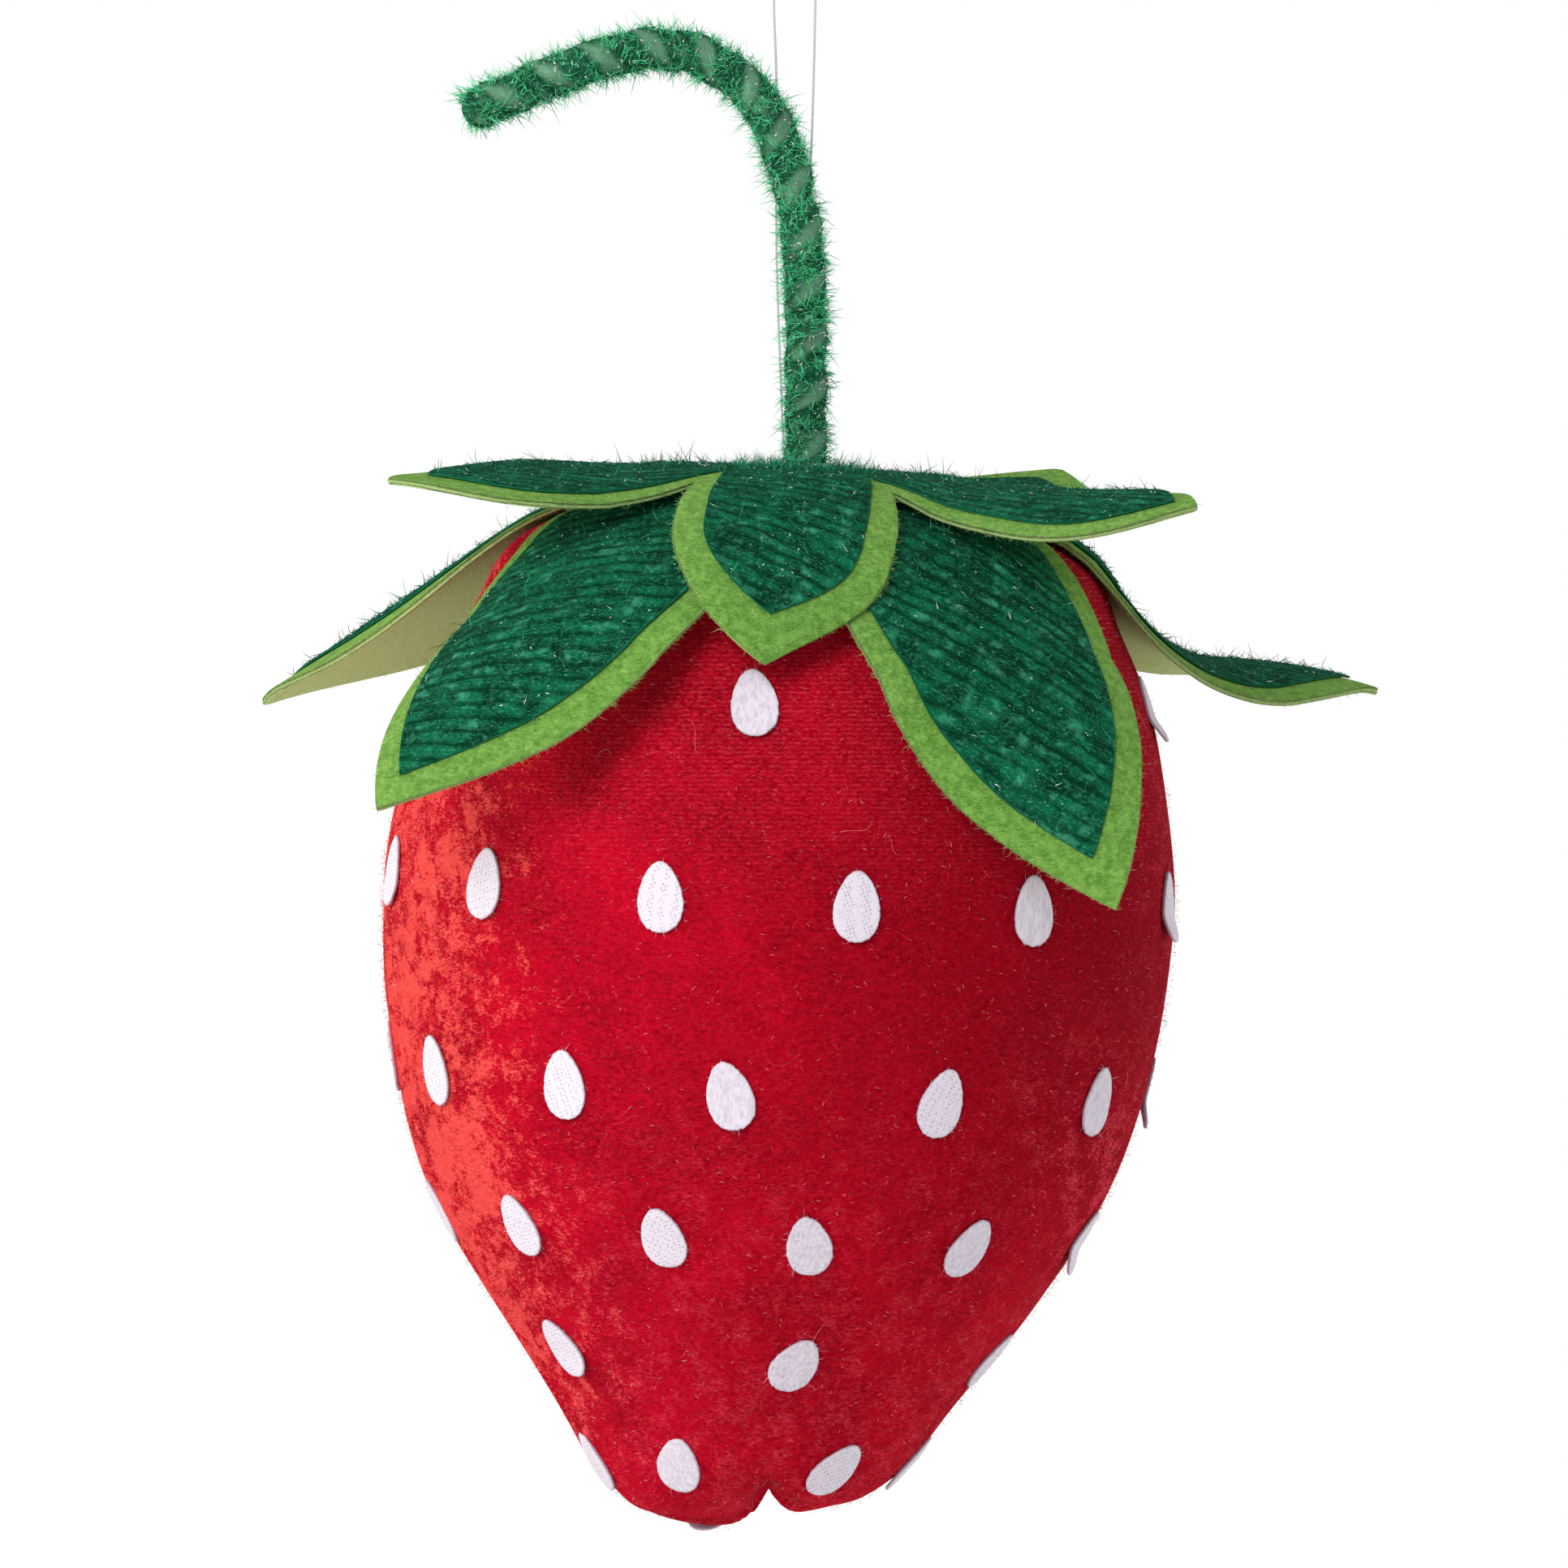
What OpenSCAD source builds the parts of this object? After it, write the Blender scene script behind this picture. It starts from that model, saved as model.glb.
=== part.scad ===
// Hanging strawberry ornament: a moulded foam berry under two panels of red velvet, with felt
// seed patches, a calyx of two five-pointed stars and a hooked wire stem, on a loop of clear
// thread. +Z is up, +X is to the right as it hangs, and -Y faces the viewer. The origin is
// the inside of the loop's top, where it hangs. Sizes are in millimetres.

/* [Hanger] */
// Length from the inside of the loop's top to the middle of the knot
hang_length = 83.8; // [82:0.1:86]
// Diameter of the clear thread
thread_d = 0.4; // [0.3:0.05:0.6]
// Radius of the knot
knot_r = 1.4; // [1:0.1:1.6]

/* [Stem] */
// Radius of the plush sleeve on the stem
sleeve_r = 3.7; // [3.2:0.1:4.2]
// Height of the sleeve's spiral rib
rib_h = 0.3; // [0:0.05:0.5]
// Distance between turns of the spiral rib
rib_pitch = 8.8; // [7:0.2:12]
// Radius of the wire in the stem
wire_r = 1; // [0.7:0.1:1.3]
// Height of the stem's hook over its foot, along the wire
stem_height = 70; // [64:0.5:76]
// Reach of the stem's hook to the left of its foot
hook_reach = 54; // [46:0.5:60]
// Length of the wire below the crown, glued into the foam
root_length = 38; // [25:1:60]

/* [Berry] */
// Widest width of the velvet body
berry_width = 131.4; // [120:0.2:144]
// Height of the velvet body, from its crown to its lobes
berry_height = 171.8; // [155:0.2:190]
// Thickness of the velvet
velvet_t = 1; // [0.6:0.1:1.4]
// Rise of the clefts between the four lobes of the underside
cleft_h = 8.7; // [0:0.1:12]
// Distance over which a cleft closes
cleft_w = 3.9; // [3:0.1:6]
// Heading of the seam between the velvet panels
seam_angle = 12; // [0:1:30]

/* [Seeds] */
// Length of a seed patch
seed_length = 11.6; // [9:0.1:13]
// Width of a seed patch
seed_width = 7.6; // [6:0.1:9]
// Thickness of a seed patch
seed_t = 1.2; // [0.8:0.1:1.6]

/* [Calyx] */
// Thickness of the felt
felt_t = 1.2; // [0.9:0.1:1.5]
// Thickness of the tinsel plush
plush_t = 1; // [0.7:0.1:1.3]
// Reach of an upper leaf from the middle of its star
upper_reach = 78.5; // [72:0.5:84]
// Width of an upper leaf
upper_leaf_width = 36; // [32:0.5:40]
// Distance from the star's middle at which an upper leaf is widest
upper_widest_at = 51; // [45:0.5:55]
// Distance of the upper star's notches from its middle
upper_notch_r = 21; // [18:0.5:24]
// Reach of a lower leaf from the middle of its star
lower_reach = 117.5; // [110:0.5:122]
// Width of a lower leaf
lower_leaf_width = 49; // [44:0.5:52]
// Distance from the star's middle at which a lower leaf is widest
lower_widest_at = 55; // [50:0.5:65]
// Distance of the lower star's notches from its middle
lower_notch_r = 28; // [25:0.5:31]
// Felt left bare beside the plush
side_rim = 4; // [2:0.5:6]
// Felt left bare beyond the plush at a leaf's tip
tip_rim = 7; // [4:0.5:10]
// Felt left bare in the notches
notch_rim = 1; // [0.5:0.1:2]

/* [Hidden] */

// Clearances
layer_gap = 0.2;      // between layers of cloth stacked at the crown
foam_gap = 0.4;       // between the velvet and the foam
seed_gap = 0.1;       // glue line under a seed patch
wire_gap = 0.1;       // round the wire in the sleeve and in the foam
cup_gap = 0.35;       // round the wire's foot and the knot, which turn in the glue
strand_gap = 1.5;     // between the sleeve and the thread that rises behind it
hub_gap = 0.7;        // between the sleeve and the stars' holes
glue_gap = 0.3;       // between the glue and the stars' holes
leaf_gap = 0.7;       // between layers out along the leaves, where they lie loosely

// Heights at the crown, where 0 is the top of the upper plush
upper_z = -plush_t - layer_gap;
lower_z = upper_z - felt_t - layer_gap - plush_t - layer_gap;
velvet_z = lower_z - felt_t - layer_gap;

// Places at the crown, in the berry's frame
foot_depth = 0.5;
knot_seat = [-2.6, 2.6, -foot_depth];
stem_seat = [0, knot_seat[1] - sleeve_r - strand_gap, -foot_depth];
hub_hole_r = sleeve_r + hub_gap - stem_seat[1];
glue_r = hub_hole_r - glue_gap;
glue_top = -0.6;

// The berry hangs a little off plumb: it leans to its right and back.
berry_turn = [1.75, 2.7];
knot = [-0.7, 0, -hang_length];
crown = knot - turned(knot_seat);
stem_pivot = crown + turned(stem_seat);

// Half outline of the berry: [share of half the width, share of the height], from the crown
berry_outline = [
    [0, 0], [0.3, 0.002], [0.54, 0.016], [0.73, 0.053], [0.815, 0.115], [0.91, 0.195],
    [0.985, 0.32], [1, 0.41], [0.965, 0.525], [0.868, 0.655], [0.7, 0.766],
    [0.502, 0.869], [0.37, 0.94], [0.25, 0.979], [0, 1],
];
outline_steps = 2;
turn_steps = 48;
cleft_x = 2.8;
cleft_fade = [12, 28];
belly_offset = -1.1;
flank_swell = 0.8;
low_lobe = [-13.6, 0];
low_lobe_drop = 4.5;
low_lobe_spread = 14.3;
front_tuck = 2.2;
tuck_fade = [12, 26];

// Rows of seed patches: [depth as a share of the berry's height, size, headings from the
// front, leans]
seed_rows = [
    [0.1863, 1, [-96, -66, -36, -6, 24, 54, 84, 114, 144, 174, 204, 234], [0, 5, -4, -10, 6, 0]],
    [0.3725, 1, [-76, -47, -17, 11, 39, 77, 105, 133, 162, 192, 222, 252], [4, 2, -5, 1, -1, 3]],
    [0.557, 1, [-95, -61, -32, -6, 26.5, 59.5, 93, 121, 150, 178, 207, 236],
        [2, -1, 0, -15, 9, -4]],
    [0.6985, 0.97, [-80, -47, -17.5, 8, 39, 78, 108, 135, 164, 193, 222, 251],
        [-4, -5, -9, -13, 11, 5]],
    [0.818, 0.97, [-52, 9, 75, 136, 196, 250], [-7, 19, 8]],
    [0.9255, 0.97, [-74, -27, 31, 80, 148, 214], [4, 13, 25, 6]],
];
tip_row = [0.986, 0.95, [206], [-6]];

// Route of the stem's wire from its pivot: [share of the reach, share of the height]
stem_route = [
    [0, 0], [0, 0.17], [0, 0.34], [-0.008, 0.515], [-0.043, 0.689], [-0.13, 0.864],
    [-0.256, 0.957], [-0.37, 0.998], [-0.481, 1.004], [-0.593, 0.989], [-0.704, 0.961],
    [-0.861, 0.913], [-1, 0.864],
];

// Route of the thread loop, as [x, z]
sleeve_foot = 1.6;
loop_r = 3.4;
strand_foot = 1.75;
strand_x = 1;
loop_left = [[-2, -76], [-3, -48], [-3, -20], [-3.4, -8]];
loop_right = [[3.4, -8], [2.8, -30], [0.9, -70]];

// Stars: [reach, half width, where a leaf is widest, taper, notch, droop of the hub, height]
upper_star = [
    upper_reach, upper_leaf_width / 2, upper_widest_at, 2.6, upper_notch_r, 0.15, upper_z,
];
lower_star = [
    lower_reach, lower_leaf_width / 2, lower_widest_at, 2.2, lower_notch_r, 1.3, lower_z,
];
hub_rows = 2;
leaf_rows = 12;
leaf_half = 4;
blend_length = 10;

// Leaves: [heading, dips at a third, two thirds and the tip, sweep, rolls half way and at the
// tip, cup per millimetre]
upper_leaves = [
    [-147, 1.5, 3.3, 4, -9, -8.8, -3, 0.009],
    [-92.8, 14.6, 38.8, 84, -6, -9.5, -22.5, 0.0095],
    [-40.8, 2.7, -2, 1.2, 14.4, 8.9, 16.5, 0.0129],
    [55.5, 6, -3, -20, 2, 4, 4, 0.002],
    [129.5, 7, 1, -6, 0, -3, -3, 0.002],
];
lower_leaves = [
    [-126.8, 30.9, 44.9, 48.8, -16.7, -1.5, -28.4, 0.0248],
    [-59.5, 39.8, 58.3, 61.2, 22.2, 7.8, 56.6, 0.0159],
    [13.9, 45.5, 0, 14, 28, 5.3, 3.8, 0.0142],
    [85, 30, 40, 38, 5, 0, 0, 0.02],
    [149.3, 28.3, 31.3, 27.1, -5.3, -1.8, -2.3, 0.0233],
];

// ---- Helpers ----

function unit(v) = v / norm(v);
function smooth(x) = let (k = min(max(x, 0), 1)) k * k * (3 - 2 * k);
function quad(a, b, c, d) = [[a, b, c], [a, c, d]];

// Point p of the berry's frame, turned as the berry hangs
function turned(p) =
    let (
        y = p[1] * cos(berry_turn[0]) - p[2] * sin(berry_turn[0]),
        z = p[1] * sin(berry_turn[0]) + p[2] * cos(berry_turn[0])
    )
    [p[0] * cos(berry_turn[1]) + z * sin(berry_turn[1]), y,
        z * cos(berry_turn[1]) - p[0] * sin(berry_turn[1])];

module berry_frame()
    translate(crown)
    rotate([berry_turn[0], berry_turn[1], 0])
    children();

// Catmull-Rom curve through points, with steps to each stretch; the ends run on by the ghosts
function curve(points, steps, before, after) =
    let (p = concat([before], points, [after]))
    [
        for (k = [1 : len(points) - 1], j = [0 : steps - 1])
            let (u = j / steps, a = p[k - 1], b = p[k], c = p[k + 1], d = p[k + 2])
            (2 * b + (c - a) * u + (2 * a - 5 * b + 4 * c - d) * u * u
                + (3 * b - a - 3 * c + d) * u * u * u) / 2,
        points[len(points) - 1],
    ];

// Curve through points whose ends run straight on
function open_curve(points, steps) =
    let (n = len(points))
    curve(points, steps, 2 * points[0] - points[1], 2 * points[n - 1] - points[n - 2]);

// Unit tangent of a list of 2D points at number k
function tangent(path, k) =
    unit(path[min(k + 1, len(path) - 1)] - path[max(k - 1, 0)]);

// ---- Berry surface ----

// The outline in millimetres, as [radius, depth below the crown taken negative]
function outline() =
    let (
        p = [for (q = berry_outline) [q[0] * berry_width / 2, -q[1] * berry_height + velvet_z]],
        n = len(p)
    )
    curve(p, outline_steps, [-p[1][0], p[1][1]], [-p[n - 2][0], p[n - 2][1]]);

// Outward normal of the outline at number k
function outline_normal(path, k) =
    k == 0 ? [0, 1] : k == len(path) - 1 ? [0, -1] : let (t = tangent(path, k)) [-t[1], t[0]];

// The outline moved inward by a depth
function skin(depth) =
    let (path = outline())
    [for (k = [0 : len(path) - 1]) path[k] - depth * outline_normal(path, k)];

function cleft(x, y) =
    let (r = norm([x, y]), fade = cleft_fade)
    cleft_h * max(exp(-abs(x - cleft_x) / cleft_w), exp(-abs(y) / cleft_w))
        * (1 - smooth((r - fade[0]) / (fade[1] - fade[0])));

// Below its shoulders the berry stands a little to one side of its crown
function belly_x(z) = belly_offset * smooth((velvet_z - z - 5) / 60);

// Its left flank is a little fuller low down, and its left lobe hangs lower than the others
function flank_x(x, z) = -flank_swell * smooth(-x / 40) * smooth((velvet_z - z - 60) / 60);
function lobe_drop(x, y) =
    low_lobe_drop * exp(-pow(norm([x, y] - low_lobe) / low_lobe_spread, 2));

// The front panel is drawn up a little behind the seam, under the berry
function tuck(x, y) =
    front_tuck * smooth((3 - y) / 8)
        * (1 - smooth((norm([x, y]) - tuck_fade[0]) / (tuck_fade[1] - tuck_fade[0])));

// Point of a skin's outline point q at a heading; the clefts are only under the berry
function skin_point(q, heading) =
    let (x = q[0] * cos(heading), y = q[0] * sin(heading))
    [
        x + belly_x(q[1]) + flank_x(x, q[1]), y,
        q[1] + (q[1] < velvet_z - berry_height / 2
            ? cleft(x, y) + tuck(x, y) - lobe_drop(x, y) : 0),
    ];

// Signed height of [r, z] over the outline, and the outline's normal there
function height_over(path, q) =
    let (
        near = [
            for (k = [0 : len(path) - 2])
                let (
                    side = path[k + 1] - path[k],
                    u = min(max((q - path[k]) * side / (side * side), 0), 1),
                    off = q - path[k] - side * u,
                    normal = unit([-side[1], side[0]])
                )
                [norm(off), off * normal < 0 ? -1 : 1, normal]
        ],
        least = min([for (n = near) n[0]]),
        best = [for (n = near) if (n[0] == least) n][0]
    )
    [best[0] * best[1], best[2]];

// Gap between layers at a distance from the stars' middle: tight at the hub, loose beyond
function slack(r) = layer_gap + (leaf_gap - layer_gap) * smooth((r - hub_hole_r) / 20);

// Point p, moved off the berry where it is nearer to the velvet than some cloth and its gaps
function lifted(path, p, rest) =
    let (
        x = p[0] - belly_x(p[2]),
        r = norm([x, p[1]]),
        over = height_over(path, [r, p[2]]),
        short = max(rest[0] + rest[1] * slack(r) - over[0], 0)
    )
    r < hub_hole_r || short == 0 ? p
        : p + short * [over[1][0] * x / r, over[1][0] * p[1] / r, over[1][1]];

module foam_solid() {
    rings = skin(velvet_t + foam_gap);
    last = len(rings) - 1;
    n = turn_steps;
    points = [
        skin_point(rings[0], 0),
        for (k = [1 : last - 1], j = [0 : n - 1])
            skin_point(rings[k], seam_angle + 360 * j / n),
        skin_point(rings[last], 0),
    ];
    foot = len(points) - 1;
    faces = [
        for (j = [0 : n - 1]) let (i = (j + 1) % n) each concat(
            [[0, 1 + i, 1 + j]],
            [
                for (k = [0 : last - 3])
                    let (a = 1 + k * n, b = a + n)
                    each quad(a + j, a + i, b + i, b + j)
            ],
            [[foot, foot - n + j, foot - n + i]]
        ),
    ];
    polyhedron(points, faces, convexity = 4);
}

// Half of the velvet, from the seam heading round to the opposite seam
module velvet_panel(heading) {
    outer = skin(0);
    inner = skin(velvet_t);
    last = len(outer) - 1;
    n = turn_steps / 2;
    eye = wire_r + wire_gap - stem_seat[1];
    function layer(rings) = [
        for (k = [0 : last - 1], j = [0 : n])
            skin_point(k == 0 ? [eye, rings[0][1]] : rings[k], heading + 180 * j / n),
        skin_point(rings[last], 0),
    ];
    size = last * (n + 1) + 1;
    rows = last - 1;
    function at(k, j) = k > rows ? size - 1 : k * (n + 1) + j;
    faces = [
        for (k = [0 : rows], j = [0 : n - 1])
            let (a = at(k, j), b = at(k, j + 1), c = at(k + 1, j + 1), d = at(k + 1, j))
            each k == rows
                ? [[a, b, c], [b + size, a + size, c + size]]
                : concat(quad(a, b, c, d), quad(b + size, a + size, d + size, c + size)),
        for (j = [0 : n - 1]) each quad(at(0, j + 1), at(0, j), at(0, j) + size,
            at(0, j + 1) + size),
        for (k = [0 : rows]) each concat(
            quad(at(k, 0), at(k + 1, 0), at(k + 1, 0) + size, at(k, 0) + size),
            quad(at(k + 1, n), at(k, n), at(k, n) + size, at(k + 1, n) + size)
        ),
    ];
    polyhedron(concat(layer(outer), layer(inner)), faces, convexity = 4);
}

// ---- Seeds ----

// Egg outline, narrow end up, about its middle
function egg(length, width) = [
    for (a = [0 : 18 : 342])
        [width / 2 * cos(a) * (1 - 0.22 * sin(a)), length / 2 * sin(a)]
];

// Point of the velvet at a depth below the crown and a heading
function velvet_point(radii, depth, heading) =
    skin_point([lookup(depth, radii), velvet_z - depth], heading);

module seed(depth, size, heading, lean) {
    radii = [for (q = outline()) [velvet_z - q[1], q[0]]];
    down = velvet_point(radii, depth + 0.5, heading) - velvet_point(radii, depth - 0.5, heading);
    across = velvet_point(radii, depth, heading + 2) - velvet_point(radii, depth, heading - 2);
    normal = unit(cross(down, across));
    translate(velvet_point(radii, depth, heading))
        rotate([0, -asin(normal[2]), atan2(normal[1], normal[0])])
        rotate([-lean, 0, 0])
        translate([seed_gap, 0, 0])
        rotate([90, 0, 90])
        linear_extrude(seed_t)
        polygon(egg(seed_length * size, seed_width * size));
}

module seed_row(row)
    color("lavender") berry_frame()
    for (k = [0 : len(row[2]) - 1])
        seed(row[0] * berry_height, row[1], row[2][k] - 90, row[3][k % len(row[3])]);

// ---- Calyx ----

function leaf_root(star) = star[4] * cos(36);

function half_width(star, s) =
    let (root = leaf_root(star), base = star[4] * sin(36), widest = star[2])
    s < widest
        ? base + (star[1] - base) * sin(90 * (s - root) / (widest - root))
        : star[1] * (1 - pow((s - widest) / (star[0] - widest), star[3]));

// Angle from leaf i to the next one round
function gap_after(leaves, i) = (leaves[(i + 1) % 5][0] - leaves[i % 5][0] + 720) % 360;

// Direction of a leaf's middle line at share u of its length
function leaf_heading(star, leaf, u) =
    let (
        root_dip = atan(2 * star[5] * leaf_root(star) / pow(star[4], 2)),
        dip = lookup(u, [[0, root_dip], [1 / 3, leaf[1]], [2 / 3, leaf[2]], [1, leaf[3]]]),
        heading = leaf[0] + leaf[4] * u
    )
    [cos(dip) * cos(heading), cos(dip) * sin(heading), -sin(dip)];

mid_steps = 24;
// Points down the middle of a leaf
function midline(star, leaf) =
    let (
        root = leaf_root(star),
        step = (star[0] - root) / mid_steps,
        start = [root * cos(leaf[0]), root * sin(leaf[0]), star[6] - star[5] * pow(cos(36), 2)]
    )
    [
        for (k = 0, p = start; k <= mid_steps;
            p = p + step / 2 * (leaf_heading(star, leaf, k / mid_steps)
                + leaf_heading(star, leaf, (k + 1) / mid_steps)),
            k = k + 1) p
    ];

// Point of a star's upper face that lay s along leaf i and t across it in the flat cloth
function leaf_point(star, leaves, i, middle, s, t) =
    let (
        leaf = leaves[i],
        root = leaf_root(star),
        spread = gap_after(leaves, t > 0 ? i : i + 4) / 72,
        heading = leaf[0] + atan2(t, s) * spread,
        r = norm([s, t]),
        hub = [r * cos(heading), r * sin(heading), star[6] - star[5] * pow(r / star[4], 2)],
        u = (s - root) / (star[0] - root),
        k = min(max(floor(u * mid_steps), 0), mid_steps - 1),
        mid = middle[k] + (u * mid_steps - k) * (middle[k + 1] - middle[k]),
        along = leaf_heading(star, leaf, u),
        across = unit(cross([0, 0, 1], along)),
        roll = lookup(u, [[0, 0], [0.5, leaf[5]], [1, leaf[6]]]),
        rise = sin(roll) * t - leaf[7] * u * t * t,
        free = mid + cos(roll) * t * across + rise * cross(along, across)
    )
    s <= root ? hub : hub + (free - hub) * smooth((s - root) / blend_length);

// One layer of a star: trim is the bare felt at the sides, tips and notches; low and high are
// the heights of its faces over the felt's upper face, and gaps counts the gaps under it; rest
// is [cloth, gaps] between the velvet and the felt's upper face
module star_layer(star, leaves, trim, low, high, gaps, rest) {
    cut = [star[0] - trim[1], star[1] - trim[0], star[2], star[3], star[4] - trim[2]];
    cols = 2 * leaf_half;
    ring = 5 * cols;
    root = leaf_root(cut);
    path = outline();
    middles = [for (leaf = leaves) midline(star, leaf)];

    function place(i, s, t) =
        lifted(path, leaf_point(star, leaves, i, middles[i], s, t), rest);
    // [lower point, upper point] of the layer at s, t
    function pair(i, s, t) =
        let (
            p = place(i, s, t),
            e = 0.5,
            along = place(i, s + e, t) - place(i, s - e, t),
            across = place(i, s, t + e) - place(i, s, t - e),
            normal = unit(cross(along, across)),
            gap = gaps * slack(norm([s, t]))
        )
        [p + (low + gap) * normal, p + (high + gap) * normal];
    function hub_place(i, h, f) =
        let (
            hole = hub_hole_r * [cos(36 * f), sin(36 * f)],
            chord = [root, f * cut[4] * sin(36)],
            q = hole + (chord - hole) * h / hub_rows
        )
        pair(i, q[0], q[1]);
    function row_s(k) = root + (cut[0] - root) * k / leaf_rows;

    pairs = [
        for (h = [0 : hub_rows], i = [0 : 4], c = [0 : cols - 1])
            hub_place(i, h, c / leaf_half - 1),
        for (i = [0 : 4]) each concat(
            [
                for (k = [1 : leaf_rows - 1], c = [0 : cols])
                    pair(i, row_s(k), (c / leaf_half - 1) * half_width(cut, row_s(k)))
            ],
            [pair(i, cut[0], 0)]
        ),
    ];
    size = len(pairs);
    leaf_size = (leaf_rows - 1) * (cols + 1) + 1;
    leaf_base = (hub_rows + 1) * ring;
    function hub_at(h, g) = h * ring + g % ring;
    function at(i, k, c) =
        k == 0 ? hub_at(hub_rows, i * cols + c)
        : k == leaf_rows ? leaf_base + (i + 1) * leaf_size - 1
        : leaf_base + i * leaf_size + (k - 1) * (cols + 1) + c;

    upper = [
        for (h = [0 : hub_rows - 1], g = [0 : ring - 1])
            each quad(hub_at(h, g), hub_at(h, g + 1), hub_at(h + 1, g + 1), hub_at(h + 1, g)),
        for (i = [0 : 4], c = [0 : cols - 1]) each concat(
            [
                for (k = [0 : leaf_rows - 2])
                    each quad(at(i, k, c), at(i, k, c + 1), at(i, k + 1, c + 1),
                        at(i, k + 1, c))
            ],
            [[at(i, leaf_rows - 1, c), at(i, leaf_rows - 1, c + 1), at(i, leaf_rows, 0)]]
        ),
    ];
    function wall(a, b) = quad(a, b, b + size, a + size);
    walls = [
        for (g = [0 : ring - 1]) each wall(hub_at(0, g + 1), hub_at(0, g)),
        for (i = [0 : 4], k = [0 : leaf_rows - 1]) each concat(
            wall(at(i, k, 0), at(i, k + 1, 0)),
            wall(at(i, k + 1, cols), at(i, k, cols))
        ),
    ];
    polyhedron(
        concat([for (p = pairs) p[1]], [for (p = pairs) p[0]]),
        concat(upper, [for (f = upper) [f[2] + size, f[1] + size, f[0] + size]], walls),
        convexity = 8
    );
}

// What lies between the velvet and each star's upper face: [cloth, gaps]
lower_rest = [felt_t, 1];
upper_rest = [2 * felt_t + plush_t, 3];
plush_trim = [side_rim, tip_rim, notch_rim];

module felt_star(star, leaves, rest)
    star_layer(star, leaves, [0, 0, 0], -felt_t, 0, 0, rest);

module plush_star(star, leaves, rest)
    star_layer(star, leaves, plush_trim, 0, plush_t, 1, rest);

// ---- Tubes in a plane of constant Y, along a path of [x, z] ----

tube_sides = 12;
thread_sides = 8;

// Ring about a centre, square to a tangent, with one radius for each side
function tube_ring(centre, t, radii) = [
    for (j = [0 : len(radii) - 1])
        let (a = 360 * j / len(radii), r = radii[j])
        [centre[0] - t[1] * r * cos(a), r * sin(a), centre[1] + t[0] * r * cos(a)]
];

function same(value, count) = [for (k = [1 : count]) value];

function side_faces(rings, sides) = [
    for (k = [0 : rings - 2], j = [0 : sides - 1])
        let (a = k * sides, b = a + sides, i = (j + 1) % sides)
        each quad(a + j, a + i, b + i, b + j)
];

function moved_faces(faces, start) = [for (f = faces) [for (v = f) v + start]];
function turned_faces(faces) = [for (f = faces) [f[2], f[1], f[0]]];

module tube(path, r, sides) {
    n = len(path);
    points = [for (k = [0 : n - 1]) each tube_ring(path[k], tangent(path, k), same(r, sides))];
    ends = [
        [for (j = [0 : sides - 1]) sides - 1 - j],
        [for (j = [0 : sides - 1]) (n - 1) * sides + j],
    ];
    polyhedron(points, concat(side_faces(n, sides), ends), convexity = 6);
}

// ---- The pieces ----

module hanging_loop() color("gainsboro") {
    foot = knot[2] + strand_foot;
    bight = [
        for (a = [157.5 : -22.5 : 22.5])
            (loop_r + thread_d / 2) * [cos(a), sin(a)] + [0, -loop_r]
    ];
    route = concat(
        [[knot[0] - strand_x, foot]], loop_left, bight, loop_right,
        [[knot[0] + strand_x, foot]]
    );
    tube(open_curve(route, 3), thread_d / 2, thread_sides);
}

module hanger_knot() color("gainsboro")
    translate(knot)
    sphere(r = knot_r, $fn = 32);

function stem_path() =
    open_curve([for (q = stem_route) [q[0] * hook_reach, q[1] * stem_height]], 4);

module stem_wire() color("silver") translate(stem_pivot) {
    path = stem_path();
    tube([for (k = [0 : len(path) - 3]) path[k]], wire_r, tube_sides);
    sphere(r = wire_r + wire_gap / 2, $fn = 32);
}

module sleeve_solid() {
    sides = tube_sides;
    wire = stem_path();
    path = concat([[0, sleeve_foot]], [for (k = [1 : len(wire) - 1]) wire[k]]);
    n = len(path);
    run = [
        for (k = 0, s = 0; k < n; s = s + norm(path[k + 1 < n ? k + 1 : k] - path[k]), k = k + 1) s
    ];
    // A rib winds round the sleeve
    function radii(k) = [
        for (j = [0 : sides - 1])
            sleeve_r - rib_h / 2 * (1 - cos(360 * (run[k] / rib_pitch + j / sides)))
    ];
    way = tangent(path, n - 1);
    tip = path[n - 1];
    points = concat(
        [for (k = [0 : n - 1]) each tube_ring(path[k], tangent(path, k), radii(k))],
        [
            for (a = [35, 65])
                each tube_ring(tip + sleeve_r * sin(a) * way, way, cos(a) * radii(n - 1))
        ],
        [[tip[0] + sleeve_r * way[0], 0, tip[1] + sleeve_r * way[1]]],
        [
            for (k = [0 : n - 1])
                each tube_ring(path[k], tangent(path, k), same(wire_r + wire_gap, sides))
        ]
    );
    pole = (n + 2) * sides;
    bore = pole + 1;
    faces = concat(
        side_faces(n + 2, sides),
        [for (j = [0 : sides - 1]) [pole - sides + j, pole - sides + (j + 1) % sides, pole]],
        turned_faces(moved_faces(side_faces(n, sides), bore)),
        [[for (j = [0 : sides - 1]) bore + n * sides - 1 - j]],
        [
            for (j = [0 : sides - 1])
                let (i = (j + 1) % sides)
                each quad(i, j, bore + j, bore + i)
        ]
    );
    polyhedron(points, faces, convexity = 8);
}

module stem_sleeve() color("seagreen") translate(stem_pivot) sleeve_solid();

module wire_root() color("silver") berry_frame()
    translate([stem_seat[0], stem_seat[1], stem_seat[2] - wire_r - cup_gap])
    mirror([0, 0, 1])
    cylinder(r = wire_r, h = root_length, $fn = 32);

module root_bore() {
    top = stem_seat[2];
    foot = stem_seat[2] - root_length - 2 * wire_r;
    translate([stem_seat[0], stem_seat[1], foot])
        cylinder(r = wire_r + wire_gap, h = top - foot, $fn = 32);
}

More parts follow.
